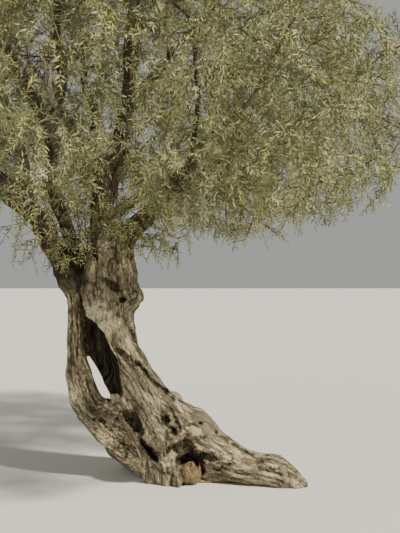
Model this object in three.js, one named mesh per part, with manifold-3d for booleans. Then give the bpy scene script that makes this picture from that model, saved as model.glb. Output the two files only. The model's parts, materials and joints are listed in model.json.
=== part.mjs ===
// An old olive tree with a leaning, hollowed trunk, at its real size, in millimetres.
// The ground is z = 0, and the origin lies on the flat cut under the trunk.
// Seen from the hollowed side, +X runs to the right and +Y away.

import * as THREE from "three";
import { mergeVertices } from "three/addons/utils/BufferGeometryUtils.js";
import Module from "manifold-3d";

const wasm = await Module();
wasm.setup();

// Solids that rest on one another are this far apart.
const SEAT_GAP = 0.3;

// The crown: two rings of billows and a pair on top, round an upright axis.
const CROWN_AXIS = { x: -700, y: 50 };
const LOWER_RING = { radius: 1500, height: 2540, size: [900, 900, 840] };
const UPPER_RING = { radius: 1010, height: 3580, size: [860, 860, 800] };
const TOP_PAIR = { radius: 430, height: 4360, size: [820, 820, 740] };

// The trunk is a bundle of sinews of wood, each a few stations [x, y, z, radius] long.
// Those that stand on the ground end below it and are cut off there.
const SINEWS = {
  main: [
    [30, 10, 245, 150], [-140, 25, 345, 170], [-330, 30, 480, 178], [-480, 30, 665, 168],
    [-590, 20, 890, 158], [-640, 10, 1105, 168], [-645, 0, 1320, 196], [-640, 0, 1530, 170],
    [-640, 0, 1690, 125], [-655, -5, 1820, 84],
  ],
  rightRoot: [
    [-60, 0, 310, 160], [130, -40, 195, 140], [290, -90, 125, 114], [440, -130, 98, 106],
    [560, -150, 60, 100], [660, -165, -5, 72],
  ],
  foot: [[-280, 60, 320, 175], [-90, 70, 170, 185], [120, 40, 70, 150], [330, -30, 10, 105]],
  leftFoot: [
    [-850, 0, 740, 80], [-803, 10, 570, 94], [-710, 20, 445, 108], [-600, 35, 325, 114],
    [-450, 60, 205, 116], [-330, 90, 95, 124], [-220, 110, -70, 135],
  ],
  slender: [
    [-790, 10, 540, 92], [-850, 0, 740, 80], [-866, 0, 920, 62], [-866, 0, 1110, 58],
    [-868, 0, 1270, 66], [-890, 0, 1400, 96], [-922, 0, 1500, 102],
  ],
  bridge: [[-800, 10, 455, 55], [-660, -15, 485, 58], [-500, -20, 500, 80]],
  knee: [[-440, 0, 610, 165], [-345, -25, 420, 178], [-275, -35, 220, 142], [-230, -30, -60, 140]],
  innerWall: [
    [-600, 60, 780, 80], [-725, 85, 930, 92], [-790, 75, 1090, 88], [-800, 70, 1260, 88],
    [-790, 50, 1430, 105],
  ],
  heel: [[-570, 190, 210, 112], [-390, 180, 180, 172], [-150, 200, 110, 160], [90, 180, 70, 125]],
  backRightRoot: [[-60, 110, 330, 165], [60, 220, 190, 132], [160, 320, 65, 100], [230, 400, -70, 72]],
  backRoot: [[-260, 120, 420, 170], [-250, 240, 230, 148], [-240, 345, 75, 120], [-235, 415, -70, 98]],
  backLeftRoot: [[-450, 100, 420, 140], [-470, 210, 240, 125], [-470, 330, 90, 96], [-475, 445, -40, 72]],
  backFlank: [
    [-120, 190, 180, 150], [-330, 190, 430, 155], [-530, 175, 720, 136], [-640, 150, 1010, 126],
    [-690, 115, 1290, 130], [-700, 90, 1500, 112],
  ],
  lip: [[-215, -85, 520, 80], [-135, -140, 450, 70], [-55, -185, 372, 54]],
};
const SINEW_SIDES = 9;
const SINEW_FLUTE = 0.07;

// Burls and knobs: swellings of the old wood, with their half-sizes along X, Y and Z.
const BURLS = [
  { at: [-510, -25, 1270], size: [112, 125, 102] },
  { at: [-545, 5, 1440], size: [112, 122, 118] },
  { at: [-10, -40, 365], size: [120, 105, 98] },
  { at: [-252, -190, 362], size: [140, 120, 86] },
  { at: [490, -150, 135], size: [115, 95, 80] },
];

// Hollows rotted out of the trunk, also with half-sizes; tilt is in degrees about Y.
const HOLLOWS = [
  { at: [-458, -180, 438], size: [98, 100, 52], tilt: 47 },
  { at: [-340, -205, 235], size: [32, 90, 88], tilt: -42 },
  { at: [-205, -225, 425], size: [30, 100, 84], tilt: -34 },
  { at: [-20, -235, 158], size: [165, 200, 122], tilt: 6 },
  { at: [-262, -325, 205], size: [125, 130, 66], tilt: 8 },
];
// The long dark cleft up the left of the main sinew, where the heartwood has gone.
const CLEFT = [
  [-802, -88, 1240, 44], [-748, -90, 1090, 86], [-698, -100, 920, 118], [-655, -110, 760, 116],
  [-615, -120, 630, 80],
];

// The limbs: from inside a parent at [x, y, z] by way of a few points to the skin of a mass.
// The first leg of each is its collar, which is grown into the parent.
const LIMBS = {
  left_bough: {
    parent: "trunk", mass: "foliage_left", radii: [90, 38],
    via: [[-890, 0, 1400], [-1030, -20, 1640], [-1160, -60, 1860]],
  },
  inner_left_bough: {
    parent: "trunk", mass: "foliage_high_left", radii: [62, 32],
    via: [[-780, 60, 1440], [-925, 90, 1720], [-1045, 85, 2030], [-1090, 60, 2520]],
  },
  centre_bough: {
    parent: "trunk", mass: "foliage_top_right", radii: [95, 33],
    via: [[-640, 0, 1640], [-680, -10, 1900], [-590, -20, 2150], [-490, 0, 2620]],
  },
  right_bough: {
    parent: "trunk", mass: "foliage_right", radii: [82, 34],
    via: [[-590, 10, 1540], [-430, 20, 1780], [-180, 40, 2000]],
  },
  back_bough: {
    parent: "trunk", mass: "foliage_back", radii: [84, 34],
    via: [[-650, 70, 1500], [-690, 260, 1760], [-780, 540, 2010]],
  },
  front_limb: {
    parent: "left_bough", mass: "foliage_front", radii: [48, 28],
    via: [[-1092, -38, 1745], [-1125, -230, 1930]],
  },
  left_back_limb: {
    parent: "left_bough", mass: "foliage_left_back", radii: [46, 28],
    via: [[-1160, -60, 1860], [-1300, 140, 2030]],
  },
  top_left_limb: {
    parent: "inner_left_bough", mass: "foliage_top_left", radii: [44, 26],
    via: [[-1085, 65, 2400], [-1000, 150, 2650], [-1010, 220, 3150]],
  },
  high_front_limb: {
    parent: "centre_bough", mass: "foliage_high_front", radii: [44, 26],
    via: [[-560, -15, 2300], [-510, -190, 2560]],
  },
  high_right_limb: {
    parent: "centre_bough", mass: "foliage_high_right", radii: [42, 26],
    via: [[-490, 0, 2600], [-330, 110, 2820]],
  },
  high_back_limb: {
    parent: "back_bough", mass: "foliage_high_back", radii: [46, 26],
    via: [[-715, 350, 1850], [-750, 450, 2120], [-810, 560, 2600]],
  },
  right_back_limb: {
    parent: "back_bough", mass: "foliage_right_back", radii: [46, 28],
    via: [[-700, 310, 1810], [-500, 440, 1960]],
  },
  right_front_limb: {
    parent: "right_bough", mass: "foliage_right_front", radii: [46, 28],
    via: [[-300, 30, 1905], [-190, -180, 2030]],
  },
};
const LIMB_SIDES = 7;
const LIMB_STEPS = 3;
// A limb ends this far out in its mass, as a share of the way from centre to skin.
const ENTRY = 0.8;
// How far a station of an old limb lies out of line.
const CROOK = 20;

// How a mass grows: one stem, side twigs round it by the golden angle, and leafy sprays.
// Reach, lift and wander of the stem are shares of the mass's size; turns are in degrees.
const GOLDEN_ANGLE = THREE.MathUtils.degToRad(137.508);
const STEM = { stepsPerLeg: 2, reach: 0.68, lift: 0.14, tipRadius: 7, wander: 0.16 };
const TWIG = { count: 8, first: 0.1, last: 0.97, step: 215, most: 3, radius: 10, tipRadius: 6 };
const TWIG_TURN = { low: 88, high: 44, lift: -0.04, wander: 0.42 };
const SPRAY = { length: 290, width: 88, thickness: 10, splay: 46, sink: 4, perStep: 2, rootShare: 0.12 };
// A twig or spray stays this far inside its own space, and this clear of every limb.
const MARGIN = { twig: 0.04, spray: 0.03, limb: 40 };
const SEED = 101;
const TWIG_SIDES = 3;
const STEM_SIDES = 5;

// Finishes of the solids.
const BARK = { color: 0x8d8270, roughness: 0.95, metalness: 0 };
const YOUNG_BARK = { color: 0x7d766a, roughness: 0.9, metalness: 0 };
const FOLIAGE = { color: 0x7c8159, roughness: 0.7, metalness: 0 };

// Small helpers for points, random draws and solids.
const point = ([x, y, z]) => new THREE.Vector3(x, y, z);
const UP = new THREE.Vector3(0, 0, 1);

// A seeded draw between 0 and 1 that gives the same tree each time.
function seededRandom(seed) {
  let state = seed >>> 0;
  return () => {
    state = (state + 0x6d2b79f5) >>> 0;
    let mixed = Math.imul(state ^ (state >>> 15), state | 1);
    mixed = (mixed + Math.imul(mixed ^ (mixed >>> 7), mixed | 61)) ^ mixed;
    return ((mixed ^ (mixed >>> 14)) >>> 0) / 4294967296;
  };
}

function solidOf(geometry) {
  const bare = geometry.clone();
  bare.deleteAttribute("normal");
  bare.deleteAttribute("uv");
  const merged = mergeVertices(bare, 0.001);
  const mesh = new wasm.Mesh({
    numProp: 3,
    vertProperties: merged.attributes.position.array,
    triVerts: new Uint32Array(merged.index.array),
  });
  return new wasm.Manifold(mesh);
}

function geometryOf(solid) {
  const mesh = solid.getMesh();
  const geometry = new THREE.BufferGeometry();
  geometry.setAttribute("position", new THREE.BufferAttribute(mesh.vertProperties, 3));
  geometry.setIndex(new THREE.BufferAttribute(mesh.triVerts, 1));
  geometry.computeVertexNormals();
  return geometry;
}

const joined = (solids) => solids.reduce((whole, solid) => whole.add(solid));

// A smooth row of stations { at, radius } through a few [x, y, z, radius] ones.
function smoothStations(rough, steps) {
  const curve = new THREE.CatmullRomCurve3(rough.map(point), false, "catmullrom", 0.5);
  const gaps = rough.length - 1;
  return Array.from({ length: gaps * steps + 1 }, (_, i) => {
    const gap = Math.min(Math.floor(i / steps), gaps - 1);
    const share = i / steps - gap;
    return {
      at: curve.getPoint(i / (gaps * steps)),
      radius: THREE.MathUtils.lerp(rough[gap][3], rough[gap + 1][3], share),
    };
  });
}

// Adds to each station its direction along the limb and two directions across it. A limb
// that goes on from the last ring of another starts out flat against that ring, its seat.
function framed(stations, seat) {
  let side = seat?.side;
  return stations.map((station, i) => {
    const before = stations[Math.max(i - 1, 0)].at;
    const after = stations[Math.min(i + 1, stations.length - 1)].at;
    const along = i === 0 && seat ? seat.along : after.clone().sub(before).normalize();
    side ??= new THREE.Vector3(along.y, along.z, along.x).cross(along);
    side = side.clone().addScaledVector(along, -side.dot(along)).normalize();
    return { ...station, along, side, across: along.clone().cross(side) };
  });
}

// A closed tapered solid: a cylinder whose rings are moved onto the framed stations.
// Flutes are shallow lobes that wind slowly round the limb.
function taperedSolid(rings, sides, flute = 0) {
  const LOBES = 3;
  const WIND = 0.35;
  const geometry = new THREE.CylinderGeometry(1, 1, 1, sides, rings.length - 1);
  const position = geometry.attributes.position;
  for (let i = 0; i < position.count; i++) {
    const k = Math.round((position.getY(i) + 0.5) * (rings.length - 1));
    const { at, radius, side, across } = rings[k];
    const x = Number(position.getX(i).toFixed(6));
    const z = Number(position.getZ(i).toFixed(6));
    const reach = radius * (1 + flute * Math.cos(LOBES * Math.atan2(z, x) + WIND * k));
    const moved = at.clone().addScaledVector(across, x * reach).addScaledVector(side, z * reach);
    position.setXYZ(i, moved.x, moved.y, moved.z);
  }
  return solidOf(geometry);
}

// The same rings, moved a little along the limb at one end, to leave a gap at its seat.
function startedLater(rings, gap) {
  const [first, ...rest] = rings;
  return [{ ...first, at: first.at.clone().addScaledVector(first.along, gap) }, ...rest];
}

function ballSolid({ at, size, tilt = 0 }) {
  const geometry = new THREE.SphereGeometry(1, 10, 7);
  const turn = new THREE.Matrix4().makeRotationY(THREE.MathUtils.degToRad(tilt));
  geometry.applyMatrix4(new THREE.Matrix4().makeScale(...size));
  geometry.applyMatrix4(turn);
  geometry.translate(...at);
  return solidOf(geometry);
}

function groundCutter() {
  const SPAN = 4000;
  return solidOf(new THREE.BoxGeometry(SPAN, SPAN, SPAN).translate(0, 0, -SPAN / 2));
}

// The masses of foliage: rings of billows about the crown's axis, each in its own space.
function massAt(ring, azimuth, lift = 0) {
  const angle = THREE.MathUtils.degToRad(azimuth);
  return {
    centre: new THREE.Vector3(
      CROWN_AXIS.x + ring.radius * Math.cos(angle),
      CROWN_AXIS.y + ring.radius * Math.sin(angle),
      ring.height + lift,
    ),
    size: ring.size,
  };
}
const MASSES = {
  foliage_right: massAt(LOWER_RING, 2, 40),
  foliage_right_back: massAt(LOWER_RING, 53, -40),
  foliage_back: massAt(LOWER_RING, 105, 30),
  foliage_left_back: massAt(LOWER_RING, 157, -30),
  foliage_left: massAt(LOWER_RING, 206, 0),
  foliage_front: massAt(LOWER_RING, 257, -10),
  foliage_right_front: massAt(LOWER_RING, 309, -100),
  foliage_high_right: massAt(UPPER_RING, 20, 30),
  foliage_high_back: massAt(UPPER_RING, 110, -40),
  foliage_high_left: massAt(UPPER_RING, 200, 20),
  foliage_high_front: massAt(UPPER_RING, 290, -30),
  foliage_top_left: massAt(TOP_PAIR, 155, -60),
  foliage_top_right: massAt(TOP_PAIR, 340, 40),
};

// How far a point is out from the middle of a mass: 0 at its centre, 1 at its skin.
function outness(mass, at) {
  const [a, b, c] = mass.size;
  const d = at.clone().sub(mass.centre);
  return Math.hypot(d.x / a, d.y / b, d.z / c);
}

// A mass keeps to the part of its own ellipsoid that is nearer to it than to any other.
function keepsTo(mass, at, margin) {
  const own = outness(mass, at);
  if (own > 1 - margin) return false;
  return Object.values(MASSES).every((other) => other === mass || own + margin < outness(other, at));
}

// The last station of a limb: where the line from its last bend to the mass meets the skin.
function entryPoint(from, mass) {
  const share = 1 - ENTRY / outness(mass, from);
  return from.clone().lerp(mass.centre, share);
}

// Old limbs are crooked: each station past the collar is put a little out of line.
function crooked(stations, phase) {
  stations.slice(LIMB_STEPS + 1, -1).forEach(({ at }, k) => {
    at.x += CROOK * Math.sin(1.7 * k + phase);
    at.y += CROOK * Math.cos(1.4 * k + 2 * phase);
  });
  return stations;
}

Object.values(LIMBS).forEach((limb, phase) => {
  const mass = MASSES[limb.mass];
  const last = point(limb.via.at(-1));
  const route = [...limb.via, entryPoint(last, mass).toArray()];
  const [thick, thin] = limb.radii;
  const rough = route.map((at, i) => [...at, THREE.MathUtils.lerp(thick, thin, i / (route.length - 1))]);
  limb.rings = framed(crooked(smoothStations(rough, LIMB_STEPS), phase));
});

// The gap from a point to the skin of the nearest limb.
function limbGap(at) {
  let nearest = Infinity;
  for (const { rings } of Object.values(LIMBS)) {
    for (let i = 1; i < rings.length; i++) {
      const line = new THREE.Line3(rings[i - 1].at, rings[i].at);
      const foot = line.closestPointToPoint(at, true, new THREE.Vector3());
      nearest = Math.min(nearest, foot.distanceTo(at) - rings[i - 1].radius);
    }
  }
  return nearest;
}

function stemStations(mass, limb, random) {
  const start = limb.rings.at(-1);
  const inward = mass.centre.clone().sub(start.at);
  const [size] = mass.size;
  const outward = inward.clone().normalize().multiplyScalar(STEM.reach * size);
  const end = mass.centre.clone().add(outward).addScaledVector(UP, STEM.lift * size);
  const shaky = () => (random() - 0.5) * STEM.wander * size;
  const middle = mass.centre.clone().add(point([shaky(), shaky(), shaky()]));
  const lead = start.at.clone().addScaledVector(start.along, inward.length() / 3);
  const route = [start.at, lead, middle, end];
  const legs = route.length - 1;
  const rough = route.map((at, i) => [
    ...at.toArray(),
    THREE.MathUtils.lerp(start.radius, STEM.tipRadius, i / legs),
  ]);
  return smoothStations(rough, STEM.stepsPerLeg);
}

// A side twig walks on from its root, turning a little downwards, until it would leave.
function walkTwig(mass, root, heading, random) {
  const path = [root.clone()];
  const heads = heading.clone();
  while (path.length <= TWIG.most) {
    const shaky = () => (random() - 0.5) * TWIG_TURN.wander;
    heads.add(point([shaky(), shaky(), shaky() + TWIG_TURN.lift])).normalize();
    const next = path.at(-1).clone().addScaledVector(heads, TWIG.step);
    if (!keepsTo(mass, next, MARGIN.twig) || limbGap(next) < MARGIN.limb) break;
    path.push(next);
  }
  return path;
}

function growTwigs(mass, stem, random) {
  const twigs = [];
  for (let i = 0; i < TWIG.count; i++) {
    const share = THREE.MathUtils.lerp(TWIG.first, TWIG.last, i / (TWIG.count - 1));
    const place = share * (stem.length - 1);
    const k = Math.min(Math.floor(place), stem.length - 2);
    const root = stem[k].at.clone().lerp(stem[k + 1].at, place - k);
    const angle = i * GOLDEN_ANGLE + random();
    const turn = THREE.MathUtils.degToRad(THREE.MathUtils.lerp(TWIG_TURN.low, TWIG_TURN.high, share));
    const { along, side, across } = stem[k];
    const outward = side.clone().multiplyScalar(Math.cos(angle)).addScaledVector(across, Math.sin(angle));
    const heading = along.clone().multiplyScalar(Math.cos(turn)).addScaledVector(outward, Math.sin(turn));
    const path = walkTwig(mass, root, heading, random);
    if (path.length > 1) twigs.push(path);
  }
  return twigs;
}

const twigRings = (path) =>
  framed(path.map((at, i) => ({
    at,
    radius: THREE.MathUtils.lerp(TWIG.radius, TWIG.tipRadius, i / (path.length - 1)),
  })));

// A flat spray of leaves, drawn as one thin blade that is widest nearer its root.
function spraySolid(root, heading, faces) {
  const SHOULDER = -0.3;
  const geometry = new THREE.OctahedronGeometry(1);
  const position = geometry.attributes.position;
  for (let i = 0; i < position.count; i++) {
    if (Math.abs(position.getX(i)) < 0.5) position.setX(i, SHOULDER);
  }
  geometry.scale(SPRAY.length / 2, SPRAY.width / 2, SPRAY.thickness / 2);
  const width = faces.clone().cross(heading).normalize();
  const basis = new THREE.Matrix4().makeBasis(heading, width, heading.clone().cross(width));
  const middle = root.clone().addScaledVector(heading, SPRAY.length / 2 - SPRAY.sink);
  geometry.applyMatrix4(basis);
  geometry.translate(...middle.toArray());
  return solidOf(geometry);
}

// A spray is tested at its shoulder, past its middle and at its tip.
function sprayFits(mass, root, heading) {
  return [0.35, 0.7, 1].every((share) => {
    const at = root.clone().addScaledVector(heading, share * SPRAY.length);
    return keepsTo(mass, at, MARGIN.spray) && limbGap(at) > MARGIN.limb;
  });
}

// Sprays stand out left and right of a twig in turn, and one goes on from its tip.
function spraysOf(mass, path, random) {
  const rings = twigRings(path);
  const splay = THREE.MathUtils.degToRad(SPRAY.splay);
  const sprays = [];
  for (let i = 1; i < SPRAY.perStep * (rings.length - 1); i++) {
    const k = Math.floor(i / SPRAY.perStep);
    const share = i / SPRAY.perStep - k + SPRAY.rootShare;
    const root = rings[k].at.clone().lerp(rings[k + 1].at, share);
    const roll = i * Math.PI + (random() - 0.5) * Math.PI;
    const { along, side, across } = rings[k];
    const outward = side.clone().multiplyScalar(Math.cos(roll)).addScaledVector(across, Math.sin(roll));
    const heading = along.clone().multiplyScalar(Math.cos(splay)).addScaledVector(outward, Math.sin(splay));
    if (sprayFits(mass, root, heading)) sprays.push(spraySolid(root, heading, across));
  }
  const tip = rings.at(-1);
  if (sprayFits(mass, tip.at, tip.along)) sprays.push(spraySolid(tip.at, tip.along, tip.across));
  return sprays;
}

function massSolid(limb, seed) {
  const random = seededRandom(seed);
  const mass = MASSES[limb.mass];
  const stem = framed(stemStations(mass, limb, random), limb.rings.at(-1));
  const parts = [taperedSolid(startedLater(stem, SEAT_GAP), STEM_SIDES)];
  for (const path of growTwigs(mass, stem, random)) {
    parts.push(taperedSolid(twigRings(path), TWIG_SIDES), ...spraysOf(mass, path, random));
  }
  return joined(parts);
}

// The collars of the limbs that a parent carries: each one's first leg.
const collarsOf = (parent) =>
  Object.values(LIMBS)
    .filter((limb) => limb.parent === parent)
    .map((limb) => taperedSolid(limb.rings.slice(0, LIMB_STEPS + 1), LIMB_SIDES));

function trunkSolid() {
  const sinews = Object.values(SINEWS).map((stations) =>
    taperedSolid(framed(smoothStations(stations, 1)), SINEW_SIDES, SINEW_FLUTE));
  const wood = joined([...sinews, ...BURLS.map(ballSolid)]);
  const cleft = taperedSolid(framed(smoothStations(CLEFT, 1)), SINEW_SIDES);
  const hollowed = [...HOLLOWS.map(ballSolid), cleft].reduce((left, hole) => left.subtract(hole), wood);
  return joined([hollowed, ...collarsOf("trunk")]).subtract(groundCutter());
}

function limbSolid(name, limb) {
  const own = taperedSolid(startedLater(limb.rings.slice(LIMB_STEPS), SEAT_GAP), LIMB_SIDES);
  return joined([own, ...collarsOf(name)]);
}

// Puts the tree together: the trunk, its limbs, and the foliage at their tips.
const tree = new THREE.Group();

function addPiece(name, solid, finish) {
  const mesh = new THREE.Mesh(geometryOf(solid), new THREE.MeshStandardMaterial(finish));
  mesh.name = name;
  tree.add(mesh);
}

addPiece("trunk", trunkSolid(), BARK);
Object.entries(LIMBS).forEach(([name, limb], i) => {
  addPiece(name, limbSolid(name, limb), limb.parent === "trunk" ? BARK : YOUNG_BARK);
  addPiece(limb.mass, massSolid(limb, SEED + i), FOLIAGE);
});

export default tree;
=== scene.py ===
import json
import math

import bpy
import numpy as np
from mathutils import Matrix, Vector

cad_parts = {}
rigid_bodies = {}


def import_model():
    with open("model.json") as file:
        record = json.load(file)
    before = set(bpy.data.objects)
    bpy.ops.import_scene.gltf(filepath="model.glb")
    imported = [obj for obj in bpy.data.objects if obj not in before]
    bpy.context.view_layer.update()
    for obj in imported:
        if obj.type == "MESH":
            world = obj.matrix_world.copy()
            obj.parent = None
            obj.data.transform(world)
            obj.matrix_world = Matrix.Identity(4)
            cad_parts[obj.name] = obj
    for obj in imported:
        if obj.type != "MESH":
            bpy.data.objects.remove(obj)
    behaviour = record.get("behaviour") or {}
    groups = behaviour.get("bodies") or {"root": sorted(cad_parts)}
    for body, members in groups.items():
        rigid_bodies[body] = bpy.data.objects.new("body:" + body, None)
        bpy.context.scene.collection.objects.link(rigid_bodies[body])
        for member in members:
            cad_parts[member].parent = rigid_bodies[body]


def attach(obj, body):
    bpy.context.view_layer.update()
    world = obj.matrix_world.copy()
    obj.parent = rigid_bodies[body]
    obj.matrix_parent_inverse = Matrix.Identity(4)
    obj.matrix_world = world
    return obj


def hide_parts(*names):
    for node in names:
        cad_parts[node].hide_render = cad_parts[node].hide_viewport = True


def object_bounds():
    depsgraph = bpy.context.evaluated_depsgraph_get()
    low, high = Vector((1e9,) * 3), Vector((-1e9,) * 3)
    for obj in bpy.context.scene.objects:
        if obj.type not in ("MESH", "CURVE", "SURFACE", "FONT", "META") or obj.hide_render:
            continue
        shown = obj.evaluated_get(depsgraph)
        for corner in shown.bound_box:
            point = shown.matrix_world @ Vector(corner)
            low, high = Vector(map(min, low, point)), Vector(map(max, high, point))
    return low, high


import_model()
cad_low, cad_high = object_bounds()


# The trunk is a leaning bundle of sinews of living wood, twisted and grown together over
# centuries, with burls, rotted hollows and the collars of its boughs. It is modelled as a
# distance field on a grid, skinned with quads, and then furrowed along its own grain.
SINEWS = {
    "main": [(0.030, 0.010, 0.245, 0.150), (-0.140, 0.025, 0.345, 0.170),
        (-0.330, 0.030, 0.480, 0.178), (-0.480, 0.030, 0.665, 0.168),
        (-0.590, 0.020, 0.890, 0.158), (-0.640, 0.010, 1.105, 0.168), (-0.645, 0, 1.320, 0.196),
        (-0.640, 0, 1.530, 0.170), (-0.640, 0, 1.690, 0.125), (-0.655, -0.005, 1.820, 0.084)],
    "right_root": [(-0.060, 0, 0.310, 0.160), (0.130, -0.040, 0.195, 0.140),
        (0.290, -0.090, 0.125, 0.114), (0.440, -0.130, 0.098, 0.106),
        (0.560, -0.150, 0.060, 0.100), (0.660, -0.165, -0.005, 0.072)],
    "foot": [(-0.280, 0.060, 0.320, 0.175), (-0.090, 0.070, 0.170, 0.185),
        (0.120, 0.040, 0.070, 0.150), (0.330, -0.030, 0.010, 0.105)],
    "left_foot": [(-0.850, 0, 0.740, 0.080), (-0.803, 0.010, 0.570, 0.094),
        (-0.710, 0.020, 0.445, 0.108), (-0.600, 0.035, 0.325, 0.114),
        (-0.450, 0.060, 0.205, 0.116), (-0.330, 0.090, 0.095, 0.124),
        (-0.220, 0.110, -0.070, 0.135)],
    "slender": [(-0.790, 0.010, 0.540, 0.092), (-0.850, 0, 0.740, 0.080),
        (-0.866, 0, 0.920, 0.062), (-0.866, 0, 1.110, 0.058), (-0.868, 0, 1.270, 0.066),
        (-0.890, 0, 1.400, 0.096), (-0.922, 0, 1.500, 0.102)],
    "bridge": [(-0.800, 0.010, 0.455, 0.055), (-0.660, -0.015, 0.485, 0.058),
        (-0.500, -0.020, 0.500, 0.080)],
    "knee": [(-0.440, 0, 0.610, 0.165), (-0.345, -0.025, 0.420, 0.178),
        (-0.275, -0.035, 0.220, 0.142), (-0.230, -0.030, -0.060, 0.140)],
    "inner_wall": [(-0.600, 0.060, 0.780, 0.080), (-0.725, 0.085, 0.930, 0.092),
        (-0.790, 0.075, 1.090, 0.088), (-0.800, 0.070, 1.260, 0.088), (-0.790, 0.050, 1.430, 0.105)],
    "heel": [(-0.570, 0.190, 0.210, 0.112), (-0.390, 0.180, 0.180, 0.172),
        (-0.150, 0.200, 0.110, 0.160), (0.090, 0.180, 0.070, 0.125)],
    "back_right_root": [(-0.060, 0.110, 0.330, 0.165), (0.060, 0.220, 0.190, 0.132),
        (0.160, 0.320, 0.065, 0.100), (0.230, 0.400, -0.070, 0.072)],
    "back_root": [(-0.260, 0.120, 0.420, 0.170), (-0.250, 0.240, 0.230, 0.148),
        (-0.240, 0.345, 0.075, 0.120), (-0.235, 0.415, -0.070, 0.098)],
    "back_left_root": [(-0.450, 0.100, 0.420, 0.140), (-0.470, 0.210, 0.240, 0.125),
        (-0.470, 0.330, 0.090, 0.096), (-0.475, 0.445, -0.040, 0.072)],
    "back_flank": [(-0.120, 0.190, 0.180, 0.150), (-0.330, 0.190, 0.430, 0.155),
        (-0.530, 0.175, 0.720, 0.136), (-0.640, 0.150, 1.010, 0.126),
        (-0.690, 0.115, 1.290, 0.130), (-0.700, 0.090, 1.500, 0.112)],
    "lip": [(-0.215, -0.085, 0.520, 0.080), (-0.135, -0.140, 0.450, 0.070),
        (-0.055, -0.185, 0.372, 0.054)],
}
# Where each main bough leaves the trunk and runs, with its thickness at root and tip.
BOUGHS = {
    "left_bough": {
        "parent": "trunk", "mass": "foliage_left", "radii": (0.090, 0.038),
        "via": [(-0.890, 0, 1.400), (-1.030, -0.020, 1.640), (-1.160, -0.060, 1.860)],
    },
    "inner_left_bough": {
        "parent": "trunk", "mass": "foliage_high_left", "radii": (0.062, 0.032),
        "via": [(-0.780, 0.060, 1.440), (-0.925, 0.090, 1.720), (-1.045, 0.085, 2.030),
            (-1.090, 0.060, 2.520)],
    },
    "centre_bough": {
        "parent": "trunk", "mass": "foliage_top_right", "radii": (0.095, 0.033),
        "via": [(-0.640, 0, 1.640), (-0.680, -0.010, 1.900), (-0.590, -0.020, 2.150),
            (-0.490, 0, 2.620)],
    },
    "right_bough": {
        "parent": "trunk", "mass": "foliage_right", "radii": (0.082, 0.034),
        "via": [(-0.590, 0.010, 1.540), (-0.430, 0.020, 1.780), (-0.180, 0.040, 2.000)],
    },
    "back_bough": {
        "parent": "trunk", "mass": "foliage_back", "radii": (0.084, 0.034),
        "via": [(-0.650, 0.070, 1.500), (-0.690, 0.260, 1.760), (-0.780, 0.540, 2.010)],
    },
}
# Swellings of the old wood, and hollows rotted out of it, as half-sizes along X, Y and Z.
BURLS = [
    {"at": (-0.510, -0.025, 1.270), "size": (0.112, 0.125, 0.102)},
    {"at": (-0.545, 0.005, 1.440), "size": (0.112, 0.122, 0.118)},
    {"at": (-0.010, -0.040, 0.365), "size": (0.120, 0.105, 0.098)},
    {"at": (-0.252, -0.190, 0.362), "size": (0.140, 0.120, 0.086)},
    {"at": (0.490, -0.150, 0.135), "size": (0.115, 0.095, 0.080)},
    {"at": (-0.700, -0.030, 0.520), "size": (0.045, 0.045, 0.034)},
]
# How dark a hollow is inside, with rotten wood and painted shade, runs from 0 to 1.
HOLLOWS = [
    {"at": (-0.458, -0.180, 0.438), "size": (0.104, 0.100, 0.040), "tilt": 47, "rot_and_shade_share": 0.6},
    {"at": (-0.340, -0.205, 0.235), "size": (0.030, 0.090, 0.085), "tilt": -42, "rot_and_shade_share": 1},
    {"at": (-0.055, -0.235, 0.140), "size": (0.110, 0.190, 0.106), "tilt": 6, "rot_and_shade_share": 0.85},
    {"at": (0.042, -0.250, 0.194), "size": (0.094, 0.170, 0.048), "tilt": 10, "rot_and_shade_share": 0.3},
    {"at": (-0.262, -0.325, 0.205), "size": (0.125, 0.130, 0.066), "tilt": 8, "rot_and_shade_share": 0},
]
# The cleft where the heartwood has gone; its dark rot, deepened by painted shade, lies deep inside.
CLEFT = [(-0.795, -0.135, 1.560, 0.026), (-0.814, -0.112, 1.400, 0.032), (-0.802, -0.088, 1.240, 0.044),
    (-0.752, -0.088, 1.090, 0.082), (-0.710, -0.098, 0.920, 0.110), (-0.655, -0.110, 0.760, 0.116),
    (-0.615, -0.120, 0.630, 0.080)]
CLEFT_ROT_AND_SHADE_SHIFT = (0.012, 0.050, 0, -0.010)
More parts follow.
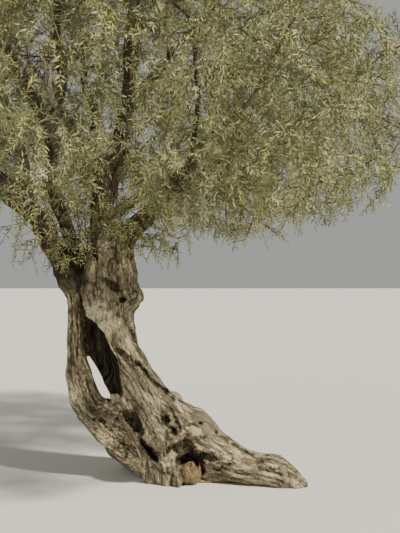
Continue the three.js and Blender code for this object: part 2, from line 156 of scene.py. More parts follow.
# Pits of the front, as X, Z, radius and tilt, and valleys and fissures, as X, Z and radius,
# with how far in their middles lie: they sink into whatever wood is there.
PITS = [(-0.519, 1.262, 0.023, -15), (-0.712, 1.552, 0.024, 80), (0, 0.417, 0.010, 0),
    (0.031, 0.333, 0.008, 0), (0.108, 0.353, 0.008, 0), (-0.742, 0.500, 0.012, 0),
    (-0.230, 0.455, 0.036, 62), (-0.172, 0.396, 0.032, 50)]
VALLEYS = [
    (-0.014, [(-0.602, 1.660, 0.028), (-0.590, 1.520, 0.042), (-0.578, 1.400, 0.040),
        (-0.600, 1.290, 0.022)]),
    (-0.010, [(-0.722, 1.480, 0.024), (-0.716, 1.350, 0.032), (-0.680, 1.215, 0.022)]),
    (-0.010, [(-0.520, 1.130, 0.018), (-0.420, 0.940, 0.028), (-0.320, 0.810, 0.026),
        (-0.190, 0.660, 0.018)]),
    (-0.008, [(-0.810, 0.660, 0.014), (-0.730, 0.480, 0.024), (-0.590, 0.325, 0.026),
        (-0.440, 0.190, 0.018)]),
    (-0.008, [(0.080, 0.300, 0.016), (0.220, 0.205, 0.024), (0.370, 0.140, 0.022),
        (0.530, 0.080, 0.014)]),
    (-0.004, [(-0.858, 1.200, 0.010), (-0.866, 1.000, 0.016), (-0.856, 0.820, 0.012)]),
    (-0.004, [(-0.250, 0.540, 0.014), (-0.176, 0.462, 0.024), (-0.116, 0.402, 0.024),
        (-0.095, 0.345, 0.020)]),
    (-0.004, [(-0.385, 0.312, 0.012), (-0.338, 0.303, 0.018), (-0.290, 0.276, 0.020),
        (-0.200, 0.262, 0.020), (-0.128, 0.288, 0.020)]),
]
FISSURES = [
    (0.011, [(-0.568, 0.925, 0.011), (-0.535, 0.900, 0.016), (-0.479, 0.849, 0.021),
        (-0.439, 0.815, 0.023), (-0.398, 0.767, 0.019), (-0.337, 0.692, 0.018),
        (-0.236, 0.618, 0.017), (-0.130, 0.560, 0.014)]),
    (0.002, [(-0.742, 0.432, 0.006), (-0.700, 0.425, 0.009), (-0.655, 0.418, 0.006)]),
    (0.002, [(0.120, 0.330, 0.006), (0.250, 0.255, 0.010), (0.380, 0.190, 0.008),
        (0.500, 0.120, 0.006)]),
    (0.002, [(-0.520, 1.130, 0.006), (-0.455, 0.980, 0.009), (-0.360, 0.860, 0.007)]),
    (0.002, [(-0.330, 0.800, 0.006), (-0.230, 0.700, 0.009), (-0.090, 0.590, 0.007)]),
    (0.010, [(-0.402, 0.382, 0.026), (-0.388, 0.312, 0.021), (-0.364, 0.265, 0.022),
        (-0.337, 0.224, 0.026), (-0.297, 0.190, 0.014)]),
    (0.004, [(-0.205, 0.530, 0.008), (-0.172, 0.470, 0.012), (-0.148, 0.420, 0.014),
        (-0.130, 0.360, 0.013)]),
    (0.004, [(-0.245, 0.500, 0.008), (-0.222, 0.448, 0.012), (-0.187, 0.400, 0.012),
        (-0.158, 0.366, 0.010)]),
    (0.012, [(-0.090, 0.310, 0.026), (-0.080, 0.250, 0.050)]),
    (0.018, [(-0.462, 0.495, 0.020), (-0.424, 0.455, 0.032), (-0.398, 0.405, 0.026)]),
    (0.012, [(-0.822, 1.300, 0.010), (-0.812, 1.180, 0.015), (-0.806, 1.060, 0.018),
        (-0.797, 0.960, 0.019), (-0.785, 0.890, 0.016)]),
    (0.004, [(-0.662, 1.412, 0.010), (-0.618, 1.382, 0.022), (-0.575, 1.345, 0.024),
        (-0.535, 1.318, 0.012)]),
]
# Seams between the ropes of wood, as X, Z and radius; they are narrower, with less rot and painted shade.
SEAMS = [
    [(-0.885, 1.290, 0.004), (-0.879, 1.160, 0.007), (-0.889, 1.020, 0.006),
        (-0.884, 0.900, 0.007), (-0.872, 0.800, 0.004)],
    [(-0.851, 1.250, 0.004), (-0.845, 1.100, 0.007), (-0.840, 0.970, 0.008),
        (-0.850, 0.850, 0.005)],
    [(-0.835, 0.720, 0.004), (-0.800, 0.600, 0.008), (-0.735, 0.500, 0.007),
        (-0.660, 0.400, 0.005)],
    [(-0.790, 0.720, 0.005), (-0.752, 0.610, 0.008), (-0.705, 0.530, 0.006)],
    [(-0.700, 1.670, 0.005), (-0.688, 1.550, 0.008), (-0.700, 1.430, 0.007),
        (-0.690, 1.330, 0.005)],
    [(-0.570, 1.640, 0.005), (-0.575, 1.560, 0.007), (-0.556, 1.460, 0.006)],
    [(-0.560, 0.330, 0.005), (-0.480, 0.240, 0.007), (-0.400, 0.150, 0.007),
        (-0.350, 0.060, 0.005)],
]
# Crusts of wood that have healed over the sill of the cleft and beside the great hollow.
CRUSTS = [
    {"at": (-0.646, -0.082, 0.556), "size": (0.026, 0.036, 0.040)},
    {"at": (-0.598, -0.106, 0.566), "size": (0.024, 0.036, 0.036)},
    {"at": (-0.556, -0.112, 0.580), "size": (0.024, 0.032, 0.034)},
    {"at": (-0.150, -0.180, 0.045), "size": (0.034, 0.040, 0.060)},
]
# The lip over the great hollow ends in a face that was sawn smooth.
SAW_CUT = {"at": (-0.047, -0.212, 0.378), "faces": (0.40, -0.52, 0.76), "radius": 0.058}
# A stump of bare heartwood stands inside the great hollow.
HEART_STUMP = {"at": (-0.070, -0.138, 0.082), "size": (0.074, 0.056, 0.074)}
STUMP_RINGS = {"middle": (-0.025, -0.180, 0.050), "gap": 0.021}
# The grid of the distance field, and the gap that stands for far from any wood.
GRID_STEP = 0.0088
GRID_LOW = np.array([-1.13, -0.37, -GRID_STEP / 2])
GRID_HIGH = np.array([0.83, 0.55, 2.02])
FAR_OUT = 0.25
# How widely rounds of wood melt into one another, and how far fluting swells them at most.
SINEW_BLEND = 0.032
COLLAR_BLEND = 0.045
BURL_BLEND = 0.05
MOST_SWELL = 1.15
# How many steps a smooth line takes from one rough station to the next.
SINEW_STEPS = 3
LIMB_STEPS = 3
RUN_STEPS = 4


def unit(vectors):
    return vectors / np.maximum(np.linalg.norm(vectors, axis=-1, keepdims=True), 1e-12)


def smooth_stations(rough, steps):
    """A smooth row of stations [x, y, z, radius] through a few rough ones."""
    rough = np.asarray(rough, float)
    held = np.vstack([2 * rough[0] - rough[1], rough, 2 * rough[-1] - rough[-2]])
    share = (np.arange(steps) / steps)[:, None]
    rows = []
    for gap in range(len(rough) - 1):
        a, b, c, d = held[gap:gap + 4]
        row = 0.5 * (2 * b + (c - a) * share + (2 * a - 5 * b + 4 * c - d) * share**2
                     + (3 * b - a - 3 * c + d) * share**3)
        row[:, 3] = (b[3] + (c[3] - b[3]) * share[:, 0])
        rows.append(row)
    return np.vstack([*rows, rough[-1]])


def run_length(points):
    """How far along a line each of its points lies."""
    legs = np.linalg.norm(np.diff(points, axis=0), axis=1)
    return np.concatenate([[0], np.cumsum(legs)])


def at_places(line, length, places):
    """The values of a line, such as X, Y, Z and radius, at some places along it."""
    return np.column_stack([np.interp(places, length, values) for values in line.T])


class Round:
    """A tapering round of wood: rings, each with a place, a radius and directions along and across."""

    def __init__(self, stations, seat=None):
        self.at = stations[:, :3]
        self.radius = stations[:, 3]
        ahead = np.vstack([self.at[1:], self.at[-1:]])
        behind = np.vstack([self.at[:1], self.at[:-1]])
        self.along = unit(ahead - behind)
        if seat is not None:
            self.along[0] = seat.along[-1]
        first = self.along[0]
        side = np.cross(np.roll(first, -1), first) if seat is None else seat.side[-1]
        self.side = np.empty_like(self.at)
        for k, along in enumerate(self.along):
            side = unit(side - along * (side @ along))
            self.side[k] = side
        self.across = np.cross(self.along, self.side)
        self.length = run_length(self.at)

    def beside(self, k, x, y, z):
        """How far along leg k points lie, how far from it, and the turn round it."""
        start, leg = self.at[k], self.at[k + 1] - self.at[k]
        ahead = (x - start[0]) * leg[0] + (y - start[1]) * leg[1] + (z - start[2]) * leg[2]
        share = np.clip(ahead / (leg @ leg), 0, 1)
        off = [value - start[i] - share * leg[i] for i, value in enumerate((x, y, z))]
        distance = np.sqrt(off[0]**2 + off[1]**2 + off[2]**2)
        side, across = (
            sum(off[i] * (axis[k][i] * (1 - share) + axis[k + 1][i] * share) for i in range(3))
            for axis in (self.side, self.across)
        )
        return share, distance, np.arctan2(across, side)

    def girth(self, k, share):
        return self.radius[k] + (self.radius[k + 1] - self.radius[k]) * share

    def place(self, k, share):
        return self.length[k] + (self.length[k + 1] - self.length[k]) * share


def value_noise(points, seed):
    """Smooth noise from -1 to 1 at each point, one cell to a unit."""
    cell = np.floor(points).astype(np.int64)
    share = points - cell
    share = share * share * (3 - 2 * share)
    total = np.zeros(points.shape[:-1])
    for corner in np.ndindex(2, 2, 2):
        key = (cell + corner) @ np.array([73856093, 19349663, 83492791]) + seed * 2654435761
        key = ((key ^ (key >> 15)) * 2246822519) & 0xFFFFFFFF
        key = ((key ^ (key >> 13)) * 3266489917) & 0xFFFFFFFF
        weight = np.prod(np.where(corner, share, 1 - share), axis=-1)
        total += weight * ((key ^ (key >> 16)) & 0xFFFF) / 0x7FFF
    return total - 1


def ramp(values, low, high):
    """0 below low, 1 above high, and a smooth rise between."""
    share = np.clip((values - low) / (high - low), 0, 1)
    return share * share * (3 - 2 * share)


def smooth_union(a, b, blend):
    """The field of two bodies joined, rounded where they meet."""
    share = np.clip(0.5 + 0.5 * (b - a) / blend, 0, 1)
    return b + (a - b) * share - blend * share * (1 - share)


def smooth_cut(a, hole, blend):
    """The field of a body with a hole cut out of it, rounded along the edge."""
    return -smooth_union(-a, hole, blend)


grid_axes = [np.arange(low, high, GRID_STEP) for low, high in zip(GRID_LOW, GRID_HIGH)]
grid_shape = tuple(len(axis) for axis in grid_axes)
wood = np.full(grid_shape, FAR_OUT, np.float32)


def grid_block(low, high):
    """The slices of the grid that hold a box, and the coordinates in them."""
    first = np.clip(np.floor((np.asarray(low) - GRID_LOW) / GRID_STEP).astype(int), 0, grid_shape)
    last = np.clip(np.ceil((np.asarray(high) - GRID_LOW) / GRID_STEP).astype(int) + 1, 0, grid_shape)
    block = tuple(slice(a, b) for a, b in zip(first, last))
    return block, np.ix_(*(axis[piece] for axis, piece in zip(grid_axes, block)))


def block_round(at, reach):
    """The slices and coordinates of the block that reaches so far round a place."""
    return grid_block(np.array(at) - reach, np.array(at) + reach)


def block_points(coordinates):
    """The coordinates of a block as points."""
    return np.stack(np.broadcast_arrays(*coordinates), axis=-1)


# Ropes of wood on a sinew: how many lie side by side, how they wind, how they differ from
# one sinew to the next, and the share of its radius by which they stand out.
ROPES = [(3, 1.9, 1.3, 0.070), (5, -2.6, 2.1, 0.060), (9, 4.2, 0.7, 0.036)]


def fluted(turn, place, number):
    """The share by which a sinew swells into ropes of wood that wind slowly round it."""
    return sum(height * np.cos(count * turn + wind * place + shift * number)
               for count, wind, shift, height in ROPES)


def add_round(piece, number, blend):
    """Grows one round of wood into the field."""
    reach = piece.radius.max() * MOST_SWELL + 3 * blend
    block, _ = grid_block(piece.at.min(0) - reach, piece.at.max(0) + reach)
    own = np.full(wood[block].shape, FAR_OUT, np.float32)
    for k in range(len(piece.radius) - 1):
        near = max(piece.radius[k:k + 2]) * MOST_SWELL + 3 * blend
        leg = piece.at[k:k + 2]
        part, (x, y, z) = grid_block(leg.min(0) - near, leg.max(0) + near)
        share, distance, turn = piece.beside(k, x, y, z)
        swell = 1 + fluted(turn, piece.place(k, share), number)
        inner = tuple(slice(a.start - b.start, a.stop - b.start) for a, b in zip(part, block))
        own[inner] = np.minimum(own[inner], distance - piece.girth(k, share) * swell)
    wood[block] = smooth_union(wood[block], own, blend)


def ball_gap(coordinates, at, size, tilt=0):
    """The gap from grid points to an ellipsoid, turned by tilt degrees about Y."""
    x, y, z = (c - a for c, a in zip(coordinates, at))
    cos, sin = math.cos(math.radians(tilt)), math.sin(math.radians(tilt))
    across, up = x * cos - z * sin, x * sin + z * cos
    return (np.sqrt((across / size[0])**2 + (y / size[1])**2 + (up / size[2])**2) - 1) * min(size)


def front_of(x, z):
    """The Y at which the wood begins, seen from the front."""
    i, k = (int(round((v - GRID_LOW[axis]) / GRID_STEP)) for v, axis in ((x, 0), (z, 2)))
    return grid_axes[1][np.argmax(wood[i, :, k] < 0)]


sinew_rounds = [Round(smooth_stations(rough, SINEW_STEPS)) for rough in SINEWS.values()]
for number, piece in enumerate(sinew_rounds):
    add_round(piece, number, SINEW_BLEND)

# A collar starts wider than its bough and ends thinner, so that the bough grows out of it.
COLLAR_SHARES = (1.10, 0.74)


def bough_round(stations):
    """The first leg of a bough, which is grown into the trunk as its collar."""
    leg = stations[:LIMB_STEPS + 1].copy()
    leg[:, 3] *= np.linspace(*COLLAR_SHARES, len(leg))
    return Round(leg)


def route_of(bough):
    """The rough stations of a bough as far as its mass, whose skin it reaches one station later."""
    route = np.array(bough["via"], float)
    return np.column_stack([route, np.linspace(*bough["radii"], len(route) + 1)[:-1]])


collars = [bough_round(smooth_stations(route_of(bough), LIMB_STEPS)) for bough in BOUGHS.values()]
for number, piece in enumerate(collars):
    add_round(piece, number, COLLAR_BLEND)

# Rot and painted shade fade out this far from the wall of a hollow, and sound swellings grow over them.
ROT_AND_SHADE_FADE = 0.016
rot_and_shade_field = np.full(grid_shape, FAR_OUT, np.float32)
# How far the block of a swelling or a hollow reaches past it.
BLOCK_MARGIN = 0.12


def add_burl(burl, lump, height, blend):
    """Grows a knobbly swelling of sound wood; lump and height are those of its knobs."""
    block, coordinates = block_round(burl["at"], max(burl["size"]) + BLOCK_MARGIN)
    gap = ball_gap(coordinates, **burl) + value_noise(block_points(coordinates) / lump, 5) * height
    wood[block] = smooth_union(wood[block], gap, blend)
    rot_and_shade_field[block] = np.maximum(rot_and_shade_field[block], ROT_AND_SHADE_FADE - gap)


for burl in BURLS:
    add_burl(burl, lump=0.07, height=0.016, blend=BURL_BLEND)

# Round each hollow the wood has healed into a rounded lip, and then the hollow is cut. Its
# wall is ragged, by lumps of two sizes and heights, and less so in a narrow hollow.
LIP_HEIGHT = 0.016
LOW_LIP = 0.010
LIP_WIDTH = 0.028
HOLLOW_BLEND = 0.012
RAGGED = [(0.075, 0.022), (0.032, 0.008)]
NARROW = 0.09


def cut_hollow(block, hole, lip_height=LIP_HEIGHT):
    bulge = lip_height * np.exp(-(hole / LIP_WIDTH)**2)
    wood[block] = smooth_cut(wood[block] - bulge, hole, HOLLOW_BLEND)


for hollow in HOLLOWS:
    block, coordinates = block_round(hollow["at"], max(hollow["size"]) + BLOCK_MARGIN)
    points = block_points(coordinates)
    ragged = sum(value_noise(points / lump, 11 + i) * height for i, (lump, height) in enumerate(RAGGED))
    ragged = ragged * min(hollow["size"]) / NARROW
    hole = ball_gap(coordinates, hollow["at"], hollow["size"], hollow["tilt"]) + ragged
    cut_hollow(block, hole)
    rot_and_shade_field[block] = np.minimum(rot_and_shade_field[block], hole + ROT_AND_SHADE_FADE * (1 - hollow["rot_and_shade_share"]))


def run_gap(coordinates, run):
    """The gap from grid points to a round."""
    gap = np.full(np.broadcast(*coordinates).shape, FAR_OUT, np.float32)
    for k in range(len(run.radius) - 1):
        share, distance, _ = run.beside(k, *coordinates)
        gap = np.minimum(gap, distance - run.girth(k, share))
    return gap


# The wall of the cleft is ragged in long streaks.
CLEFT_STREAKS = {"size": (0.05, 0.05, 0.20), "height": 0.014}
cleft = Round(smooth_stations(CLEFT, RUN_STEPS))
cleft_rot_and_shade = Round(smooth_stations(np.array(CLEFT) + CLEFT_ROT_AND_SHADE_SHIFT, RUN_STEPS))
block, coordinates = grid_block(cleft.at.min(0) - FAR_OUT, cleft.at.max(0) + FAR_OUT)
ragged = value_noise(block_points(coordinates) / CLEFT_STREAKS["size"], 21) * CLEFT_STREAKS["height"]
cut_hollow(block, run_gap(coordinates, cleft) + ragged, LOW_LIP)
rot_and_shade_field[block] = np.minimum(rot_and_shade_field[block], run_gap(coordinates, cleft_rot_and_shade) + ragged)

# Pits are deeper than wide and lower than wide, with lumps in their walls of this size in
# metres and this height as a share of the pit's radius.
PIT_SHAPE = (1, 1.4, 0.7)
PIT_LUMPS = {"size": 0.022, "height": 0.4}
for x, z, radius, tilt in PITS:
    at = (x, front_of(x, z), z)
    block, coordinates = block_round(at, BLOCK_MARGIN)
    lumps = value_noise(block_points(coordinates) / PIT_LUMPS["size"], 31)
    ragged = lumps * PIT_LUMPS["height"] * radius
    hole = ball_gap(coordinates, at, [radius * share for share in PIT_SHAPE], tilt) + ragged
    cut_hollow(block, hole, LOW_LIP)
    rot_and_shade_field[block] = np.minimum(rot_and_shade_field[block], hole)

# How far the block of a run reaches past it, and how large the lumps in its wall are.
RUN_MARGIN = 0.10
RUN_LUMP = 0.025
# How rough a run is, how softly it is cut, and how far inside its wall the rot and painted shade begin.
VALLEY_CUT = {"roughness": 0.005, "blend": 0.030}
FISSURE_CUT = {"roughness": 0.004, "blend": 0.008}
SEAM_CUT = {"roughness": 0.003, "blend": 0.007}
FISSURE_ROT_AND_SHADE = 0.006
SEAM_ROT_AND_SHADE = 0.007
SEAM_INWARD = 0.002


def cut_run(inward, run, roughness, blend):
    """Cuts a run into the front of the wood, and gives back its block and the gap to it."""
    stations = smooth_stations([(x, 0, z, radius) for x, z, radius in run], RUN_STEPS)
    stations[:, 1] = [front_of(x, z) + inward for x, _, z, _ in stations]
    piece = Round(stations)
    block, coordinates = grid_block(piece.at.min(0) - RUN_MARGIN, piece.at.max(0) + RUN_MARGIN)
    ragged = value_noise(block_points(coordinates) / RUN_LUMP, 33) * roughness
    hole = run_gap(coordinates, piece) + ragged
    wood[block] = smooth_cut(wood[block], hole, blend)
    return block, hole


for inward, valley in VALLEYS:
    cut_run(inward, valley, **VALLEY_CUT)
for inward, fissure in FISSURES:
    block, hole = cut_run(inward, fissure, **FISSURE_CUT)
    rot_and_shade_field[block] = np.minimum(rot_and_shade_field[block], hole + FISSURE_ROT_AND_SHADE)
for seam in SEAMS:
    block, hole = cut_run(SEAM_INWARD, seam, **SEAM_CUT)
    rot_and_shade_field[block] = np.minimum(rot_and_shade_field[block], hole + SEAM_ROT_AND_SHADE)

saw_at, saw_faces = np.array(SAW_CUT["at"]), unit(np.array(SAW_CUT["faces"]))
block, coordinates = block_round(saw_at, BLOCK_MARGIN)
offset = block_points(coordinates) - saw_at
sawn_off = np.maximum(-offset @ saw_faces, np.linalg.norm(offset, axis=-1) - SAW_CUT["radius"])
wood[block] = np.maximum(wood[block], -sawn_off)

for crust in CRUSTS:
    add_burl(crust, lump=0.036, height=0.012, blend=0.024)
# The knobs of the stump are upright splinters.
add_burl(HEART_STUMP, lump=(0.024, 0.024, 0.110), height=0.020, blend=0.018)

# Nothing of the trunk reaches below the ground.
wood = np.maximum(wood, -grid_axes[2].astype(np.float32))


def skin_of(field):
    """Points and quads of the surface where the field is zero, one point to a cell it crosses."""
    inside = field < 0
    full = np.zeros(tuple(n - 1 for n in field.shape), np.int8)
    for i, j, k in np.ndindex(2, 2, 2):
        full += inside[i:i + full.shape[0], j:j + full.shape[1], k:k + full.shape[2]]
    cells = np.argwhere((full > 0) & (full < 8))
    index = np.full(full.shape, -1, np.int32)
    index[tuple(cells.T)] = np.arange(len(cells))
    total = np.zeros((len(cells), 3))
    count = np.zeros(len(cells))
    for axis in range(3):
        others = [a for a in range(3) if a != axis]
        for u, v in np.ndindex(2, 2):
            low = cells.copy()
            low[:, others] += (u, v)
            high = low.copy()
            high[:, axis] += 1
            a, b = field[tuple(low.T)].astype(float), field[tuple(high.T)].astype(float)
            crossed = (a < 0) != (b < 0)
            spot = low.astype(float)
            spot[:, axis] += a / np.where(crossed, a - b, 1)
            total[crossed] += spot[crossed]
            count += crossed
    points = GRID_LOW + GRID_STEP * total / count[:, None]
    quads = []
    for axis in range(3):
        u, v = (axis + 1) % 3, (axis + 2) % 3
        low = np.moveaxis(inside, axis, 0)[:-1]
        high = np.moveaxis(inside, axis, 0)[1:]
        for start, end, turned in ((low, high, False), (high, low, True)):
            edges = np.argwhere(start & ~end)
            spots = np.empty_like(edges)
            rest = [a for a in range(3) if a != axis]
            spots[:, axis], spots[:, rest[0]], spots[:, rest[1]] = edges.T
            held = np.all(spots[:, [u, v]] > 0, axis=1)
            spots = spots[held]
            corners = []
            for du, dv in ((1, 1), (0, 1), (0, 0), (1, 0)):
                corner = spots.copy()
                corner[:, u] -= du
                corner[:, v] -= dv
                corners.append(index[tuple(corner.T)])
            quad = np.stack(corners[::-1] if turned else corners, axis=1)
            quads.append(quad)
    return points, np.vstack(quads)


def normals_of(points, quads):
    """A unit normal at each point of a mesh of quads."""
    flat = np.cross(points[quads[:, 2]] - points[quads[:, 0]], points[quads[:, 3]] - points[quads[:, 1]])
    total = np.zeros_like(points)
    for corner in range(4):
        for axis in range(3):
            total[:, axis] += np.bincount(quads[:, corner], flat[:, axis], len(points))
    return unit(total)


trunk_points, trunk_quads = skin_of(wood)

# The furrows of the bark: width across the grain, how much longer along it, depth, and how much
# darker they make it, as dark bark and painted shade. They wind round the wood, so far in a metre.
FURROWS = [(0.120, 7.0, 0.0150, 0.14), (0.056, 7.5, 0.0115, 0.46), (0.027, 7.0, 0.0080, 0.52),
    (0.014, 5.0, 0.0040, 0.40)]
WINDING = 0.9
# A ridge is round, with a flat part that falls off at its sides, and a third of it stands
# out of the wood. A furrow grows dark between these shares of a ridge's height.
ROUND_PART, FLAT_PART, SUNK_PART = 0.55, 0.45, 0.66
RIDGE_SIDE = (0, 0.30)
DARK_SIDE = (0.01, 0.17)
# Relief is shallower on wood thinner than this.
FULL_GIRTH = 0.085
# The grains of two rounds mingle where the one is less than about this far inside the other.
GRAIN_BLEND = 0.012


def furrow_relief(turn, girth, place, seed):
    """The height of the bark's relief, and how dark each point is in a furrow, as dark bark and painted
    shade.
    """
    height, depth = 0, 0
    for layer, (width, stretch, deep, dark) in enumerate(FURROWS):
        wound = turn + WINDING * place
        spot = np.stack([np.cos(wound) * girth / width, np.sin(wound) * girth / width,
                         place / (width * stretch)], axis=-1)
        wavy = value_noise(spot * 0.37 + 7, seed + 50 + layer)
        spot[..., 0] += 0.6 * wavy
        ridge = np.abs(value_noise(spot + 13.7 * seed, seed + layer))
        risen = ROUND_PART * np.sqrt(ridge) + FLAT_PART * ramp(ridge, *RIDGE_SIDE) - SUNK_PART
        height = height + deep * risen
        depth = depth + (1 - ramp(ridge, *DARK_SIDE)) * dark
    return height * np.clip(girth / FULL_GIRTH, 0.35, 1), depth


def grain_of(points, rounds):
    """Relief, furrow darkness with painted shade, and grain coordinates of points on wood that several
    rounds share.
    """
    x, y, z = points.T
    nearest = np.full(len(points), np.inf)
    readings = []
    for piece in rounds:
        away = np.full(len(points), np.inf)
        place, turn, girth = np.zeros((3, len(points)))
        for k in range(len(piece.radius) - 1):
            share, distance, angle = piece.beside(k, x, y, z)
            nearer = distance < away
            away = np.where(nearer, distance, away)
            place = np.where(nearer, piece.place(k, share), place)
            turn = np.where(nearer, angle, turn)
            girth = np.where(nearer, piece.girth(k, share), girth)
        gap = away - girth
        readings.append((gap, place, turn, girth))
        nearest = np.minimum(nearest, gap)
    height, depth, total = np.zeros((3, len(points)))
    grain = np.zeros((len(points), 3))
    for seed, (gap, place, turn, girth) in enumerate(readings):
        weight = np.exp(-(gap - nearest) / GRAIN_BLEND)
        held = weight > 0.02
        relief, furrow_dark_and_shade = furrow_relief(turn[held], girth[held], place[held], seed)
        height[held] += weight[held] * relief
        depth[held] += weight[held] * furrow_dark_and_shade
        total[held] += weight[held]
        own = gap <= nearest
        grain[own] = np.column_stack([np.cos(turn) * girth, np.sin(turn) * girth, place])[own] + seed
    return height / total, depth / total, grain


relief, furrow_dark_and_shade, grain = grain_of(trunk_points, sinew_rounds + collars)
normals = normals_of(trunk_points, trunk_quads)
# Rot and painted shade darken the hollows, cracks and cleft, fading out past their walls.
cell = np.clip(((trunk_points - GRID_LOW) / GRID_STEP).round().astype(int), 0, np.array(grid_shape) - 1)
rot_and_shade_gap = rot_and_shade_field[tuple(cell.T)]
rot_and_shade = 1 - ramp(rot_and_shade_gap, 0, ROT_AND_SHADE_FADE)

# Scaly plates, lumpy burls and smooth bare wood, each a place and the radius it covers.
SCALY = [((-0.56, -0.05, 0.26), 0.28), ((-0.27, -0.17, 0.16), 0.15), ((0.62, -0.15, 0.06), 0.20),
    ((0.16, -0.20, 0.16), 0.13), ((-0.64, -0.05, 0.52), 0.12)]
LUMPY = [((-0.55, -0.08, 1.36), 0.36), ((-0.27, -0.24, 0.38), 0.23), ((-0.80, 0, 1.50), 0.28),
    ((-0.52, -0.10, 0.53), 0.16), ((-0.12, -0.20, 0.42), 0.15)]
BARE = [((0.020, -0.13, 0.44), 0.125), ((-0.43, -0.02, 1.15), 0.07)]
# A place where pale lichen crusts the bark, places of pale weathered bark that also carry painted
# sunlight, lightened by half and fully, and places where the bark is drawn into ropes.
CRUSTED = [((-0.672, -0.150, 1.150), 0.095)]
BLEACHED_AND_SUNLIT = [((0.230, -0.190, 0.160), 0.140), ((0.420, -0.220, 0.110), 0.120),
    ((-0.460, -0.120, 0.880), 0.100), ((-0.690, -0.200, 1.500), 0.130),
    ((-0.866, -0.050, 1.180), 0.150), ((-0.866, -0.050, 0.960), 0.150),
    ((-0.860, -0.050, 0.790), 0.140), ((-0.330, -0.100, 0.640), 0.130)]
FULLY_BLEACHED_AND_SUNLIT = [((-0.600, -0.180, 1.610), 0.100), ((-0.605, -0.070, 0.300), 0.120),
    ((-0.500, -0.050, 0.195), 0.120), ((-0.395, -0.040, 0.105), 0.110),
    ((-0.520, -0.130, 0.990), 0.170), ((-0.835, -0.060, 0.620), 0.100),
    ((-0.500, -0.100, 1.520), 0.110)]
ROPY = [((-0.866, -0.050, 1.100), 0.240), ((-0.850, -0.050, 0.800), 0.220),
    ((-0.790, -0.060, 0.600), 0.180), ((-0.600, -0.070, 0.300), 0.160),
    ((-0.450, -0.050, 0.160), 0.160), ((-0.440, -0.130, 0.780), 0.220)]
# A patch ends between these shares of its radius, with lobes of this size in metres that
# reach this share of the radius.
PATCH_EDGE = (0.65, 1.05)
PATCH_LOBES = {"size": 0.06, "reach": 0.25}
# By how much each kind of bark takes from the furrows, and from the darkness in them.
LESS_RELIEF = {"calm": 0.45, "smooth": 0.75, "lumpy": 0.60, "scaly": 0.35}
LESS_DARK = {"calm": 0.45, "smooth": 1, "lumpy": 0.75, "scaly": 0.4}
ROPY_RELIEF = 0.4
ROPY_DARK = 0.3
SCALE_HEIGHT = 0.0085
LUMP_HEIGHT = 0.0125
# The darkness between scales and round lumps, as dark bark and painted shade.
BETWEEN_SCALES = 0.7
ROUND_LUMPS = 0.6
# The blotched shade under the crown, from one height to where it is full, and the shade of
# the groove between the necks, from its foot up and from the right neck to the left.
CROWN_SHADE, SHADE_HEIGHTS = 0.36, (1.18, 1.60)
GROOVE_SHADE, GROOVE_HEIGHTS, GROOVE_SIDES = 0.90, (1.22, 1.42), (0.715, 0.79)
# Where the colour of the heartwood ends, 1 being the skin of the stump.
HEART_EDGE = (1.10, 1.45)
# How near the plane, how far from the middle and how well in line the sawn face lies.
SAWN_NEAR, SAWN_REACH, SAWN_FACING = 0.009, 0.070, 0.7
# How fully bare wood, bleached bark with painted sunlight, lichen and heartwood show their colours.
BARE_SHARE = 0.72
HALF_BLEACHED_AND_SUNLIT = 0.5
LICHEN_SHARE = 0.7
HEART_SHARE = 0.85


def patches(points, places):
    """How far each point lies within some patches, with ragged edges."""
    covered = np.zeros(len(points))
    ragged = PATCH_LOBES["reach"] * value_noise(points / PATCH_LOBES["size"], 61)
    for at, radius in places:
        gap = np.linalg.norm(points - at, axis=1) / radius + ragged
        covered = np.maximum(covered, 1 - ramp(gap, *PATCH_EDGE))
    return covered


def less(weights):
    """What is left of the furrows once each kind of bark has taken its share from them."""
    return ((1 - weights["calm"] * calm) * (1 - weights["smooth"] * smooth_wood)
            * (1 - weights["lumpy"] * lumpy) * (1 - weights["scaly"] * scaly))


scaly, lumpy, bare, crusted, bleached_and_sunlit, fully_bleached_and_sunlit, ropy = (
    patches(trunk_points, places)
    for places in (SCALY, LUMPY, BARE, CRUSTED, BLEACHED_AND_SUNLIT, FULLY_BLEACHED_AND_SUNLIT, ROPY)
)
crust = np.abs(value_noise(trunk_points / (0.034, 0.034, 0.024), 71))
pocks = np.abs(value_noise(trunk_points / 0.040, 74))
lumps = (value_noise(trunk_points / 0.075, 72) + 0.7 * value_noise(trunk_points / 0.034, 73)
         - 0.8 * (1 - ramp(pocks, 0, 0.25)))
smooth_wood = np.maximum(rot_and_shade, 0.8 * bare)
calm = ramp(value_noise(trunk_points / (0.16, 0.16, 0.24), 76), -0.15, 0.65) * (1 - ropy)
stump_gap = np.linalg.norm((trunk_points - HEART_STUMP["at"]) / HEART_STUMP["size"], axis=1)
ruddy = 1 - ramp(stump_gap, *HEART_EDGE)
moved = (relief * (1 + ROPY_RELIEF * ropy) * less(LESS_RELIEF)
         + SCALE_HEIGHT * scaly * (np.sqrt(crust) - 0.5)
         + LUMP_HEIGHT * lumpy * lumps * (1 - 0.6 * smooth_wood))
moved = moved * (1 - 0.6 * ruddy)
on_ground = trunk_points[:, 2] < 1e-4
trunk_points = trunk_points + normals * (moved * ~on_ground)[:, None]
trunk_points[:, 2] = np.where(on_ground, 0, np.maximum(trunk_points[:, 2], 0.0005))
pocked = 1 - ramp(np.abs(value_noise(trunk_points / 0.040, 74)), 0.02, 0.20)
